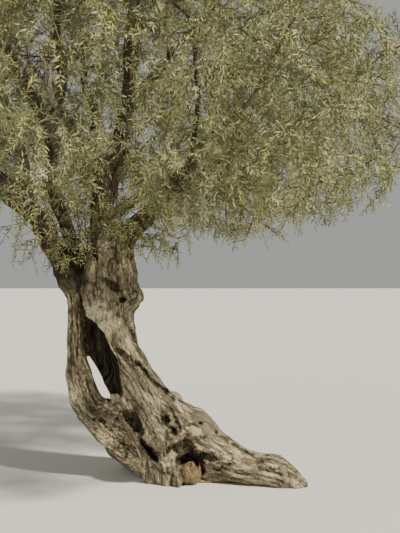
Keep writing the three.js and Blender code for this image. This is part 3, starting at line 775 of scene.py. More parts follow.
# Furrows, and the hollows between scales and lumps, are darker: dark bark with painted shade in them.
furrow_dark_and_shade = (furrow_dark_and_shade * (1 + ROPY_DARK * ropy) * less(LESS_DARK)
          + BETWEEN_SCALES * scaly * (1 - ramp(crust, 0.02, 0.20))
          + ROUND_LUMPS * lumpy * pocked * (1 - smooth_wood))
sawn_gap = (trunk_points - saw_at) @ saw_faces
sawn = ((np.abs(sawn_gap) < SAWN_NEAR) & (normals @ saw_faces > SAWN_FACING)
        & (np.linalg.norm(trunk_points - saw_at, axis=1) < SAWN_REACH))
# Bark in the shade of the crown is darker, and darkest between the two necks.
blotched = (0.6 * value_noise(trunk_points / (0.07, 0.07, 0.14), 77)
            + 0.7 * value_noise(trunk_points / (0.030, 0.030, 0.055), 78))
under_crown = CROWN_SHADE * ramp(trunk_points[:, 2], *SHADE_HEIGHTS)
shady = under_crown * (0.10 + 1.5 * ramp(blotched, -0.35, 0.40))
between_necks = ramp(trunk_points[:, 2], *GROOVE_HEIGHTS) * ramp(-trunk_points[:, 0], *GROOVE_SIDES)
shady = np.clip(np.maximum(shady, GROOVE_SHADE * between_necks), 0, GROOVE_SHADE) * (1 - bare)


def put_marks(mesh, marks):
    """Gives a mesh a named number or vector at each of its points."""
    for mark, values in marks.items():
        whole = values.dtype.kind == "i"
        kind = "FLOAT_VECTOR" if values.ndim > 1 else "INT" if whole else "FLOAT"
        attribute = mesh.attributes.new(mark, kind, "POINT")
        key = "vector" if values.ndim > 1 else "value"
        attribute.data.foreach_set(key, values.astype(np.int32 if whole else np.float32).ravel())


def mesh_piece(name, points, faces, materials, marks=None):
    """A smooth mesh object at the origin, with a value at each point for every mark."""
    mesh = bpy.data.meshes.new(name)
    mesh.from_pydata(points, [], faces, shade_flat=False)
    put_marks(mesh, marks or {})
    for material in materials:
        mesh.materials.append(material)
    piece = bpy.data.objects.new(name, mesh)
    bpy.context.scene.collection.objects.link(piece)
    return piece


def colour(red, green, blue):
    """A base colour given as it looks on a screen, from 0 to 255."""
    shares = (red / 255, green / 255, blue / 255)
    return (*(c / 12.92 if c <= 0.04 else ((c + 0.055) / 1.055) ** 2.4 for c in shares), 1)


class Recipe:
    """A material's nodes, added one after another from left to right."""

    def __init__(self, name, roughness, specular=0.3):
        self.material = bpy.data.materials.new(name)
        self.material.use_nodes = True
        self.nodes = self.material.node_tree.nodes
        self.links = self.material.node_tree.links
        self.shader = self.nodes["Principled BSDF"]
        self.shader.inputs["Roughness"].default_value = roughness
        self.shader.inputs["Specular IOR Level"].default_value = specular
        self.count = 0

    def add(self, kind, inputs=None, **settings):
        node = self.nodes.new(kind)
        self.count += 1
        node.location = (180 * self.count - 3000, -220 * (self.count % 3))
        for key, value in settings.items():
            setattr(node, key, value)
        for socket, value in (inputs or {}).items():
            self.put(node.inputs[socket], value)
        return node

    def put(self, socket, value):
        if isinstance(value, bpy.types.NodeSocket):
            self.links.new(value, socket)
        else:
            socket.default_value = value

    def mark(self, name):
        """What a point of the mesh carries under that name."""
        return self.add("ShaderNodeAttribute", attribute_name=name)

    def mixed(self, share, first, second):
        node = self.add("ShaderNodeMix", data_type="RGBA", clamp_factor=True)
        self.put(node.inputs["Factor"], share)
        self.put(node.inputs["A"], first)
        self.put(node.inputs["B"], second)
        return node.outputs["Result"]

    def between(self, value, low, high):
        """0 where a value is at low, 1 where it is at high, and even in between."""
        fade = self.add("ShaderNodeMapRange", {"Value": value, "From Min": low, "From Max": high})
        return fade.outputs["Result"]

    def spots(self, where, scale, low, high, detail=3):
        """Noise from 0 to 1 that rises between two levels."""
        noise = self.add("ShaderNodeTexNoise", {"Vector": where, "Scale": scale, "Detail": detail})
        return self.between(noise.outputs["Fac"], low, high)

    def cracks(self, where, scale, width, detail=2):
        """1 along thin wandering lines, fading to 0 beside them."""
        noise = self.add("ShaderNodeTexNoise", {"Vector": where, "Scale": scale, "Detail": detail})
        off = self.add("ShaderNodeMath", {0: noise.outputs["Fac"], 1: 0.5}, operation="SUBTRACT")
        gap = self.add("ShaderNodeMath", {0: off.outputs["Value"]}, operation="ABSOLUTE")
        return self.between(gap.outputs["Value"], width, 0)

    def times(self, first, second):
        product = self.add("ShaderNodeMath", {0: first, 1: second}, operation="MULTIPLY")
        return product.outputs["Value"]


BARK_PALE = colour(196, 183, 152)
BARK_MID = colour(133, 120, 99)
BARK_DARK = colour(33, 27, 20)
BARK_LICHEN = colour(120, 114, 72)
BARK_BARE = colour(98, 89, 72)
ROT_AND_SHADE_DARK = colour(18, 14, 9)
ROT_AND_SHADE_BROWN = colour(66, 60, 43)
HEART_RED = colour(134, 112, 80)
HEART_DARK = colour(64, 48, 32)
SAWN_PALE = colour(170, 156, 122)
BARK_SHADY = colour(46, 39, 28)
CRUST_PALE = colour(206, 198, 168)
# How many times as light bleached bark with painted sunlight is.
BLEACH_AND_SUNLIGHT = (1.9, 1.9, 1.85)


def bark_recipe(name, pale, mid, dark):
    """Furrowed bark: its recipe, its tone, and its coordinates at a point and along the grain."""
    bark = Recipe(name, roughness=0.92, specular=0.15)
    where = bark.add("ShaderNodeTexCoord").outputs["Object"]
    grain = bark.mark("grain").outputs["Vector"]
    fibre = bark.add("ShaderNodeMapping", {"Vector": grain, "Scale": (1, 1, 0.16)}).outputs["Vector"]
    worn = bark.spots(fibre, 60, 0.36, 0.66, 5)
    tone = bark.mixed(worn, mid, pale)
    blotches = bark.spots(where, 8, 0.50, 0.72)
    tone = bark.mixed(blotches, tone, bark.mixed(worn, BARK_LICHEN, pale))
    shade = bark.spots(where, 5, 0.42, 0.68, 2)
    tone = bark.mixed(bark.times(shade, 0.40), tone, mid)
    speckle = bark.spots(where, 75, 0.50, 0.68, 4)
    tone = bark.mixed(bark.times(speckle, 0.45), tone, dark)
    # Cracks and furrows are darkened: dark bark, with painted shade in them.
    wide, fine = bark.cracks(fibre, 24, 0.030), bark.cracks(fibre, 75, 0.05, 3)
    tone = bark.mixed(bark.times(wide, 0.65), tone, dark)
    tone = bark.mixed(bark.times(fine, 0.60), tone, dark)
    tone = bark.mixed(bark.mark("furrow_dark_and_shade").outputs["Fac"], tone, dark)
    tone = bark.mixed(bark.mark("shady").outputs["Fac"], tone, BARK_SHADY)
    bump = bark.add("ShaderNodeTexNoise", {"Vector": fibre, "Scale": 90, "Detail": 5})
    height = bump.outputs["Fac"]
    for cracks, depth in ((wide, 0.8), (fine, 0.4)):
        cut = bark.times(cracks, depth)
        height = bark.add("ShaderNodeMath", {0: height, 1: cut}, operation="SUBTRACT").outputs["Value"]
    relief = bark.add("ShaderNodeBump", {"Height": height, "Strength": 0.8, "Distance": 0.005})
    bark.put(bark.shader.inputs["Normal"], relief.outputs["Normal"])
    return bark, tone, where, fibre


bark, tone, where, fibre = bark_recipe("olive_bark", BARK_PALE, BARK_MID, BARK_DARK)
tone = bark.mixed(bark.mark("bare").outputs["Fac"], tone, BARK_BARE)
# Bleached bark is pale weathered bark, lightened further by painted sunlight.
lighter = bark.add("ShaderNodeVectorMath", {0: tone, 1: BLEACH_AND_SUNLIGHT}, operation="MULTIPLY").outputs["Vector"]
tone = bark.mixed(bark.mark("bleached_and_sunlit").outputs["Fac"], tone, lighter)
tone = bark.mixed(bark.times(bark.mark("crusted").outputs["Fac"], bark.spots(where, 45, 0.42, 0.56, 4)),
                  tone, CRUST_PALE)
# Rotted wood is dark, and darker still as painted shade in the hollows, cracks and cleft.
rot_and_shade_tone = bark.mixed(bark.spots(fibre, 55, 0.42, 0.64, 4), ROT_AND_SHADE_DARK, ROT_AND_SHADE_BROWN)
tone = bark.mixed(bark.mark("rot_and_shade").outputs["Fac"], tone, rot_and_shade_tone)
from_middle = bark.add("ShaderNodeVectorMath", {0: where, 1: STUMP_RINGS["middle"]}, operation="DISTANCE")
wave = bark.times(from_middle.outputs["Value"], 2 * math.pi / STUMP_RINGS["gap"])
wave = bark.add("ShaderNodeMath", {0: wave}, operation="SINE").outputs["Value"]
heart_tone = bark.mixed(bark.times(bark.between(wave, 0, 1), 0.4), HEART_RED, HEART_DARK)
heart_tone = bark.mixed(bark.times(bark.spots(where, 60, 0.42, 0.66, 4), 0.8), heart_tone, HEART_DARK)
tone = bark.mixed(bark.mark("ruddy").outputs["Fac"], tone, heart_tone)
tone = bark.mixed(bark.mark("sawn").outputs["Fac"], tone, SAWN_PALE)
bark.put(bark.shader.inputs["Base Color"], tone)
bark_material = bark.material

trunk = mesh_piece("trunk_bark", trunk_points, trunk_quads, [bark_material], {
    "furrow_dark_and_shade": np.clip(furrow_dark_and_shade, 0, 1), "grain": grain, "bare": BARE_SHARE * bare,
    "rot_and_shade": rot_and_shade, "ruddy": HEART_SHARE * ruddy, "sawn": sawn.astype(float), "shady": shady,
    "crusted": LICHEN_SHARE * crusted, "bleached_and_sunlit": np.maximum(HALF_BLEACHED_AND_SUNLIT * bleached_and_sunlit, fully_bleached_and_sunlit),
})
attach(trunk, "root")
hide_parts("trunk")


# The limbs are crooked rounds of wood that grow out of the trunk, or out of one another,
# and taper into the masses of foliage. Their bark is furrowed along the grain and grows
# finer towards the tips. Each is lofted through rings and flares where it is rooted.
LIMBS = {
    **BOUGHS,
    "front_limb": {
        "parent": "left_bough", "mass": "foliage_front", "radii": (0.048, 0.028),
        "via": [(-1.092, -0.038, 1.745), (-1.125, -0.230, 1.930)],
    },
    "left_back_limb": {
        "parent": "left_bough", "mass": "foliage_left_back", "radii": (0.046, 0.028),
        "via": [(-1.160, -0.060, 1.860), (-1.300, 0.140, 2.030)],
    },
    "top_left_limb": {
        "parent": "inner_left_bough", "mass": "foliage_top_left", "radii": (0.044, 0.026),
        "via": [(-1.085, 0.065, 2.400), (-1.000, 0.150, 2.650), (-1.010, 0.220, 3.150)],
    },
    "high_front_limb": {
        "parent": "centre_bough", "mass": "foliage_high_front", "radii": (0.044, 0.026),
        "via": [(-0.560, -0.015, 2.300), (-0.510, -0.190, 2.560)],
    },
    "high_right_limb": {
        "parent": "centre_bough", "mass": "foliage_high_right", "radii": (0.042, 0.026),
        "via": [(-0.490, 0, 2.600), (-0.330, 0.110, 2.820)],
    },
    "high_back_limb": {
        "parent": "back_bough", "mass": "foliage_high_back", "radii": (0.046, 0.026),
        "via": [(-0.715, 0.350, 1.850), (-0.750, 0.450, 2.120), (-0.810, 0.560, 2.600)],
    },
    "right_back_limb": {
        "parent": "back_bough", "mass": "foliage_right_back", "radii": (0.046, 0.028),
        "via": [(-0.700, 0.310, 1.810), (-0.500, 0.440, 1.960)],
    },
    "right_front_limb": {
        "parent": "right_bough", "mass": "foliage_right_front", "radii": (0.046, 0.028),
        "via": [(-0.300, 0.030, 1.905), (-0.190, -0.180, 2.030)],
    },
}
CROWN_AXIS = (-0.700, 0.050)
LOWER_RING = {"radius": 1.500, "height": 2.540, "size": (0.900, 0.900, 0.840)}
UPPER_RING = {"radius": 1.010, "height": 3.580, "size": (0.860, 0.860, 0.800)}
TOP_PAIR = {"radius": 0.430, "height": 4.360, "size": (0.820, 0.820, 0.740)}
# Each mass of foliage: its ring, its bearing round the crown's axis, and how far it is lifted.
MASSES = {
    "foliage_right": (LOWER_RING, 2, 0.040),
    "foliage_right_back": (LOWER_RING, 53, -0.040),
    "foliage_back": (LOWER_RING, 105, 0.030),
    "foliage_left_back": (LOWER_RING, 157, -0.030),
    "foliage_left": (LOWER_RING, 206, 0),
    "foliage_front": (LOWER_RING, 257, -0.010),
    "foliage_right_front": (LOWER_RING, 309, -0.100),
    "foliage_high_right": (UPPER_RING, 20, 0.030),
    "foliage_high_back": (UPPER_RING, 110, -0.040),
    "foliage_high_left": (UPPER_RING, 200, 0.020),
    "foliage_high_front": (UPPER_RING, 290, -0.030),
    "foliage_top_left": (TOP_PAIR, 155, -0.060),
    "foliage_top_right": (TOP_PAIR, 340, 0.040),
}
# A limb ends this far out in its mass, 1 being the skin, and is this much out of line.
ENTRY = 0.8
CROOK = 0.020
# Its faces, its relief, the height and length of its knots, and how dark the crown's shade
# makes it.
LIMB_SIDES = 26
RING_GAP = 0.013
LIMB_FURROWS = 0.85
KNOTS = 0.09
KNOT_LENGTH = 0.11
BOUGH_SHADE = 0.72
# How thick a bough comes out of its collar, and how widely any other limb is rooted.
BOUGH_START = 0.80
LIMB_FLARE = 1.45

centres = np.array([
    (CROWN_AXIS[0] + ring["radius"] * math.cos(math.radians(bearing)),
     CROWN_AXIS[1] + ring["radius"] * math.sin(math.radians(bearing)),
     ring["height"] + lift)
    for ring, bearing, lift in MASSES.values()
])
sizes = np.array([ring["size"] for ring, _, _ in MASSES.values()])
mass_number = {name: m for m, name in enumerate(MASSES)}


def outness(points, m):
    """How far out points lie in mass m: 0 at its centre, 1 at its skin."""
    return np.linalg.norm((points - centres[m]) / sizes[m], axis=-1)


def limb_stations(limb, phase):
    """The stations of a limb, put a little out of line past its collar."""
    m = mass_number[limb["mass"]]
    last = np.array(limb["via"][-1])
    entry = last + (centres[m] - last) * (1 - ENTRY / outness(last, m))
    thick, thin = limb["radii"]
    route = np.vstack([limb["via"], entry])
    stations = smooth_stations(np.column_stack([route, np.linspace(thick, thin, len(route))]), LIMB_STEPS)
    bent = stations[LIMB_STEPS + 1:-1]
    k = np.arange(len(bent))
    bent[:, 0] += CROOK * np.sin(1.7 * k + phase)
    bent[:, 1] += CROOK * np.cos(1.4 * k + 2 * phase)
    return stations


limb_rounds = {
    name: Round(limb_stations(limb, phase)) for phase, (name, limb) in enumerate(LIMBS.items())
}


def even_stations(stations, gap):
    """Stations set at an even gap along a smooth line through the given ones."""
    fine = smooth_stations(stations, 12)
    length = run_length(fine[:, :3])
    return at_places(fine, length, np.linspace(0, length[-1], max(int(length[-1] / gap), 2)))


def loft(piece, sides, reach):
    """Points and quads of a tube; reach gives the radius at each ring and turn."""
    turns = (np.arange(sides) / sides * 2 * math.pi)[:, None]
    spokes = piece.side[:, None] * np.cos(turns) + piece.across[:, None] * np.sin(turns)
    points = (piece.at[:, None] + spokes * reach[..., None]).reshape(-1, 3)
    firsts = np.arange(len(piece.at) - 1)[:, None] * sides
    base = (firsts + np.arange(sides)).ravel()
    ahead = (firsts + (np.arange(sides) + 1) % sides).ravel()
    return points, np.column_stack([base, ahead, ahead + sides, base + sides])


LIMB_PALE = colour(168, 156, 134)
LIMB_MID = colour(112, 102, 84)
LIMB_DARK = colour(44, 37, 29)

limb_bark, tone, _, _ = bark_recipe("olive_limb_bark", LIMB_PALE, LIMB_MID, LIMB_DARK)
limb_bark.put(limb_bark.shader.inputs["Base Color"], tone)
limb_material = limb_bark.material


def add_limb(name, limb, seed):
    """A limb with bark relief, from inside what carries it to inside its mass."""
    rounds = limb_rounds[name]
    from_trunk = limb["parent"] == "trunk"
    rough = np.column_stack([rounds.at, rounds.radius])
    # A bough starts one station up its collar, and any other limb inside its parent.
    rooted = 1 if from_trunk else 0
    piece = Round(even_stations(rough[rooted:], RING_GAP))
    place, turns = piece.length[:, None], np.arange(LIMB_SIDES) / LIMB_SIDES * 2 * math.pi
    collar = np.linalg.norm(rounds.at[LIMB_STEPS] - rounds.at[rooted])
    share = np.clip(place / collar, 0, 1)
    start = BOUGH_START if from_trunk else LIMB_FLARE
    flare = start + (1 - start) * (share if from_trunk else np.sqrt(share))
    girth = piece.radius[:, None] * flare
    turn, girths, place = np.broadcast_arrays(turns, girth, place)
    relief, furrow_dark_and_shade = furrow_relief(turn, girths, place, seed + 31)
    round_it = np.stack([np.cos(turn), np.sin(turn), place], axis=-1)
    knots = value_noise(round_it * (1.3, 1.3, 1 / KNOT_LENGTH), seed + 90)
    depth = LIMB_FURROWS * np.clip(girths / 0.06, 0.25, 1.2)
    reach = girths * (1 + KNOTS * knots) + relief * depth
    points, quads = loft(piece, LIMB_SIDES, reach)
    ends = np.vstack([piece.at[0], piece.at[-1]])
    last = len(points) - LIMB_SIDES
    spokes = np.arange(LIMB_SIDES)
    after = (spokes + 1) % LIMB_SIDES
    caps = [*zip(np.full(LIMB_SIDES, len(points)), after, spokes),
            *zip(np.full(LIMB_SIDES, len(points) + 1), last + spokes, last + after)]
    grain = (round_it * np.stack([girths, girths, np.ones(girths.shape)], axis=-1)).reshape(-1, 3) + seed
    made = mesh_piece(name + "_bark", np.vstack([points, ends]).tolist(),
                      quads.tolist() + [tuple(int(i) for i in cap) for cap in caps],
                      [bark_material if from_trunk else limb_material], {
        "furrow_dark_and_shade": np.append(np.clip(0.9 * furrow_dark_and_shade.ravel(), 0, 1), [0, 0]),
        "grain": np.vstack([grain, grain[:2]]),
        "shady": np.full(len(grain) + 2, BOUGH_SHADE),
    })
    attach(made, "root")
    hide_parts(name)


for seed, (name, limb) in enumerate(LIMBS.items()):
    add_limb(name, limb, seed)


# The twigs of a mass of foliage branch from one stem that goes on from its limb: side
# twigs by the golden angle, branchlets on those, and thin shoots all along. They are
# grey-brown young wood. A twig stops where it would leave its own mass.
GOLDEN_ANGLE = math.radians(137.508)
STEM = {"steps": 2, "reach": 0.68, "lift": 0.14, "tip_radius": 0.007, "wander": 0.16}
TWIG = {"count": 8, "first": 0.1, "last": 0.97, "step": 0.215, "most": 3, "radius": 0.010,
        "tip_radius": 0.006}
TWIG_TURN = {"low": 88, "high": 44, "lift": -0.04, "wander": 0.42}
SEED = 101
# How far twigs stay inside the skin of their mass, and clear of the limbs.
TWIG_MARGIN = 0.04
LIMB_CLEARANCE = 0.040
# Branchlets reach from the nearest wood into the empty rooms of a mass, and leafy shoots
# leave them all along: how far apart, how long, how thick, and how they bend.
ROOMS = {"tried": 2400, "apart": 0.205, "nearest": 0.06}
BRANCHLET = {"step": 0.060, "bow": 0.16, "shake": 0.006, "radius": 0.0044, "tip_radius": 0.0018}
SHOOT = {"gap": 0.034, "step": 0.045, "most": 6, "splay": 50, "wander": 0.42, "lift": -0.04,
         "sway": 0.16, "radius": 0.0020, "tip_radius": 0.0010}
# The same for this fine growth, which mingles so far past the border between two masses.
FINE_MARGIN = 0.010
CLEAR_LIMB = 0.012
CROSSING = 0.06
# Shoots hang below this height and rise above it, the more the further from it.
RISE = {"height": 3.3, "by": 0.10}
# How much the splay varies, in degrees, and how many times narrower than an even draw a
# bell-shaped draw is that wanders as far.
SPLAY_VARIES = 10
BELL_SHARE = 2.5
# The first shoot leaves this share of a gap from where its twig begins.
FIRST_GAP = 0.8
# Where the photo was taken from. Seen from there, these boughs show through the crown,
# which has few shoots before them.
EYE = (0, -6.0, 1.6)
SHOWN_BOUGHS = ("left_bough", "inner_left_bough", "centre_bough", "top_left_limb")
SIGHT_WIDTH = 0.009
FEWER_SHOOTS = 0.85
# One leader of the right bough stands up through the crown and forks: its lines, as X, Y,
# Z and radius.
LEADER = [
    [(-0.180, 0.040, 2.000, 0.026), (-0.070, -0.010, 2.240, 0.021), (-0.015, -0.050, 2.600, 0.018),
        (-0.035, -0.060, 2.950, 0.015), (-0.028, -0.055, 3.130, 0.013)],
    [(-0.028, -0.055, 3.130, 0.011), (-0.120, -0.040, 3.240, 0.009), (-0.250, -0.010, 3.380, 0.007),
        (-0.430, 0.040, 3.700, 0.005)],
    [(-0.028, -0.055, 3.130, 0.010), (0.040, -0.050, 3.210, 0.009), (0.160, -0.040, 3.350, 0.006),
        (0.300, -0.020, 3.650, 0.004)],
]
# A dead stub of the left boughs forks at its top.
PALE_STUB = [
    [(-1.015, 0.125, 2.600, 0.024), (-1.058, 0.088, 2.710, 0.021), (-1.056, 0.080, 2.860, 0.017)],
    [(-1.056, 0.080, 2.860, 0.013), (-1.090, 0.070, 2.925, 0.010), (-1.130, 0.060, 2.965, 0.006)],
    [(-1.056, 0.080, 2.860, 0.012), (-1.030, 0.080, 2.920, 0.009), (-0.985, 0.090, 2.975, 0.005)],
]


def seeded_draws(seed):
    """Draws between 0 and 1 that give the same tree each time."""
    mask, state = 0xFFFFFFFF, seed
    while True:
        state = (state + 0x6D2B79F5) & mask
        mixed = (state ^ (state >> 15)) * (state | 1) & mask
        mixed = (mixed + ((mixed ^ (mixed >> 7)) * (mixed | 61) & mask) & mask) ^ mixed
        yield (mixed ^ (mixed >> 14)) / 4294967296


# Twigs stay this close to the box of the solids, which leaves room for the last leaves.
OVERREACH = 0.055
reach_low, reach_high = np.array(cad_low) - OVERREACH, np.array(cad_high) + OVERREACH


def keeps_to(points, m, margin, crossing):
    """True where points lie in mass m, and nearer to it than to any other by some margin."""
    out = np.stack([outness(points, other) for other in range(len(centres))], axis=-1)
    own = out[..., m].copy()
    out[..., m] = np.inf
    boxed = np.all((points > reach_low) & (points < reach_high), axis=-1)
    return boxed & (own <= 1 - margin) & (own < out.min(axis=-1) + crossing)


leg_starts = np.vstack([piece.at[:-1] for piece in limb_rounds.values()])
leg_ends = np.vstack([piece.at[1:] for piece in limb_rounds.values()])
leg_radii = np.concatenate([piece.radius[:-1] for piece in limb_rounds.values()])


def limb_gap(points):
    """The gap from points to the skin of the nearest limb."""
    legs = leg_ends - leg_starts
    off = points[..., None, :] - leg_starts
    share = np.clip((off * legs).sum(-1) / (legs * legs).sum(-1), 0, 1)
    return (np.linalg.norm(off - share[..., None] * legs, axis=-1) - leg_radii).min(axis=-1)


def as_seen(points):
    """Where points lie in the view from the eye, and how far off they are."""
    off = points - EYE
    return off[..., [0, 2]] / off[..., 1:2], off[..., 1]


leader_lines = [smooth_stations(line, 4) for line in LEADER]
stub_lines = [smooth_stations(line, 4) for line in PALE_STUB]
shown_wood = np.vstack([limb_rounds[name].at for name in SHOWN_BOUGHS]
                       + [line[:, :3] for line in leader_lines + stub_lines])
shown_wood = np.vstack([shown_wood, (shown_wood[1:] + shown_wood[:-1]) / 2])
shown_spots, shown_depth = as_seen(shown_wood)


def left_shoots(shoots, chance):
    """The shoots that are left once most of those before the shown boughs are taken out."""
    spots, depth = as_seen(np.stack([path[len(path) // 2] for path in shoots]))
    beside = np.linalg.norm(spots[:, None] - shown_spots, axis=2) < SIGHT_WIDTH
    hiding = np.any(beside & (depth[:, None] < shown_depth), axis=1)
    kept = ~hiding | (chance.uniform(size=len(shoots)) > FEWER_SHOOTS)
    return [path for path, stays in zip(shoots, kept) if stays]


def stem_of(limb, rounds, draw):
    """The stem of a mass, which goes on from the last ring of its limb."""
    m = mass_number[limb["mass"]]
    start, size = rounds.at[-1], sizes[m][0]
    inward = centres[m] - start
    end = centres[m] + unit(inward) * STEM["reach"] * size + (0, 0, STEM["lift"] * size)
    middle = centres[m] + [(next(draw) - 0.5) * STEM["wander"] * size for _ in range(3)]
    lead = start + rounds.along[-1] * np.linalg.norm(inward) / 3
    radii = np.linspace(rounds.radius[-1], STEM["tip_radius"], 4)
    rough = np.column_stack([[start, lead, middle, end], radii])
    return Round(smooth_stations(rough, STEM["steps"]), rounds)


def first_twigs(m, stem, draw):
    """The side twigs that leave the stem, each as the points it walks through."""
    twigs = []
    for i in range(TWIG["count"]):
        share = TWIG["first"] + (TWIG["last"] - TWIG["first"]) * i / (TWIG["count"] - 1)
        place = share * (len(stem.at) - 1)
        k = min(int(place), len(stem.at) - 2)
        path = [stem.at[k] + (stem.at[k + 1] - stem.at[k]) * (place - k)]
        angle = i * GOLDEN_ANGLE + next(draw)
        turn = math.radians(TWIG_TURN["low"] + (TWIG_TURN["high"] - TWIG_TURN["low"]) * share)
        outward = stem.side[k] * math.cos(angle) + stem.across[k] * math.sin(angle)
        heading = stem.along[k] * math.cos(turn) + outward * math.sin(turn)
        while len(path) <= TWIG["most"]:
            shake = [(next(draw) - 0.5) * TWIG_TURN["wander"] for _ in range(3)]
            heading = unit(heading + shake + (0, 0, TWIG_TURN["lift"]))
            ahead = path[-1] + heading * TWIG["step"]
            if not keeps_to(ahead, m, TWIG_MARGIN, -TWIG_MARGIN) or limb_gap(ahead) < LIMB_CLEARANCE:
                break
            path.append(ahead)
        if len(path) > 1:
            twigs.append(np.array(path))
    return twigs


def branchlets_of(stout_points, fits, low, high, chance):
    """Branchlets that each reach from the nearest wood so far into an empty room."""
    spots = chance.uniform(low, high, (ROOMS["tried"], 3))
    rooms = np.empty((0, 3))
    for spot in spots[fits(spots)]:
        if not len(rooms) or np.linalg.norm(rooms - spot, axis=1).min() > ROOMS["apart"]:
            rooms = np.vstack([rooms, spot])
    nodes = np.vstack(stout_points)
    away = np.linalg.norm(rooms[:, None] - nodes, axis=2).min(axis=1)
    branchlets = []
    for spot in rooms[np.argsort(away)]:
        gaps = np.linalg.norm(nodes - spot, axis=1)
        root, gap = nodes[gaps.argmin()], gaps.min()
        if gap < ROOMS["nearest"]:
            continue
        share = np.linspace(0, 1, max(int(gap / BRANCHLET["step"]), 2) + 1)[:, None]
        bow = chance.normal(size=3) * BRANCHLET["bow"] * gap * np.sin(math.pi * share)
        path = root + (spot - root) * share + bow
        path[1:-1] += chance.normal(0, BRANCHLET["shake"], path[1:-1].shape)
        if limb_gap(path[1:]).min() > CLEAR_LIMB:
            nodes = np.vstack([nodes, path[1:]])
            branchlets.append(path)
    return branchlets


def offshoots(paths, kind, fits, chance):
    """Finer twigs that leave some paths all along, grown side by side, step by step."""
    roots, alongs = [], []
    for path in paths:
        length = run_length(path)
        places = np.arange(kind["gap"] * FIRST_GAP, length[-1], kind["gap"])
        places = np.append(places, length[-1])
        roots.append(at_places(path, length, places))
        leg = np.clip(np.searchsorted(length, places) - 1, 0, len(length) - 2)
        alongs.append(unit(np.diff(path, axis=0))[leg])
    roots, along = np.vstack(roots), np.vstack(alongs)
    count = len(roots)
    side = unit(np.cross(along, chance.normal(size=(count, 3))))
    splay = np.radians(kind["splay"] + chance.normal(0, SPLAY_VARIES, count))[:, None]
    heading = along * np.cos(splay) + side * np.sin(splay)
    lift = chance.normal(kind["lift"], kind["sway"], count) + RISE["by"] * (roots[:, 2] - RISE["height"])
    pull = np.column_stack([np.zeros((count, 2)), lift])
    steps = chance.integers(kind["most"] // 2 + 1, kind["most"] + 1, count)
    walk = [roots]
    alive = np.ones(count, bool)
    reached = np.zeros(count, int)
    for step in range(kind["most"]):
        heading = unit(heading + pull + chance.normal(0, kind["wander"] / BELL_SHARE, (count, 3)))
        ahead = walk[-1] + heading * kind["step"]
        alive &= fits(ahead) & (step < steps)
        reached += alive
        walk.append(np.where(alive[:, None], ahead, walk[-1]))
    walk = np.stack(walk, axis=1)
    return [walk[i, :reached[i] + 1] for i in range(count) if reached[i] > 1]


def node_tree(name, inputs):
    """An empty Geometry Nodes tree with named inputs."""
    tree = bpy.data.node_groups.new(name, "GeometryNodeTree")
    tree.interface.new_socket("Geometry", in_out="INPUT", socket_type="NodeSocketGeometry")
    for label, kind, value in inputs:
        socket = tree.interface.new_socket(label, in_out="INPUT", socket_type=kind)
        if value is not None:
            socket.default_value = value
    tree.interface.new_socket("Geometry", in_out="OUTPUT", socket_type="NodeSocketGeometry")
    return tree


def tree_node(tree, kind, inputs=None, **settings):
    """A node of a tree, with its settings made and its inputs linked or set."""
    node = tree.nodes.new(kind)
    node.location = (200 * len(tree.nodes), 0)
    for key, value in settings.items():
        setattr(node, key, value)
    for socket, value in (inputs or {}).items():
        if isinstance(value, bpy.types.NodeSocket):
            tree.links.new(value, node.inputs[socket])
        else:
            node.inputs[socket].default_value = value
    return node


def made_by(tree, name, mesh, values):
    """Runs a tree on a bare mesh and gives back its result as a plain mesh object."""
    seedling = bpy.data.objects.new(name + "_plan", mesh)
    bpy.context.scene.collection.objects.link(seedling)
    growth = seedling.modifiers.new("growth", "NODES")
    growth.node_group = tree
    for item in tree.interface.items_tree:
        if item.in_out == "INPUT" and item.name in values:
            growth[item.identifier] = values[item.name]
    evaluated = seedling.evaluated_get(bpy.context.evaluated_depsgraph_get())
    plain = bpy.data.meshes.new_from_object(evaluated)
    plain.name = name
    seedling.modifiers.remove(growth)
    bpy.data.objects.remove(seedling)
    piece = bpy.data.objects.new(name, plain)
    bpy.context.scene.collection.objects.link(piece)
    return piece


twig_tree = node_tree("twig_growth", [
    ("Sides", "NodeSocketInt", 3), ("Wood", "NodeSocketMaterial", None),
])
given = tree_node(twig_tree, "NodeGroupInput")
curves = tree_node(twig_tree, "GeometryNodeMeshToCurve", {"Mesh": given.outputs["Geometry"]})
thickness = tree_node(twig_tree, "GeometryNodeInputNamedAttribute", {"Name": "thickness"},
                      data_type="FLOAT")
profile = tree_node(twig_tree, "GeometryNodeCurvePrimitiveCircle", {
    "Resolution": given.outputs["Sides"], "Radius": 1.0,
})
tubes = tree_node(twig_tree, "GeometryNodeCurveToMesh", {
    "Curve": curves.outputs["Curve"], "Profile Curve": profile.outputs["Curve"],
    "Scale": thickness.outputs["Attribute"], "Fill Caps": True,
})
smoothed = tree_node(twig_tree, "GeometryNodeSetShadeSmooth", {"Geometry": tubes.outputs["Mesh"]})
real = tree_node(twig_tree, "GeometryNodeRealizeInstances", {"Geometry": smoothed.outputs["Geometry"]})
finished = tree_node(twig_tree, "GeometryNodeSetMaterial", {
    "Geometry": real.outputs["Geometry"], "Material": given.outputs["Wood"],
})
tree_node(twig_tree, "NodeGroupOutput", {"Geometry": finished.outputs["Geometry"]})

TWIG_BROWN = colour(76, 70, 51)
TWIG_GREY = colour(124, 120, 92)
twig_recipe = Recipe("olive_twig", roughness=0.8, specular=0.2)
where = twig_recipe.add("ShaderNodeTexCoord").outputs["Object"]
twig_tone = twig_recipe.mixed(twig_recipe.spots(where, 14, 0.35, 0.65), TWIG_BROWN, TWIG_GREY)
twig_recipe.put(twig_recipe.shader.inputs["Base Color"], twig_tone)


def tapered(path, radius, tip_radius):
    """A path as stations that grow thinner towards its tip."""
    return np.column_stack([path, np.linspace(radius, tip_radius, len(path))])


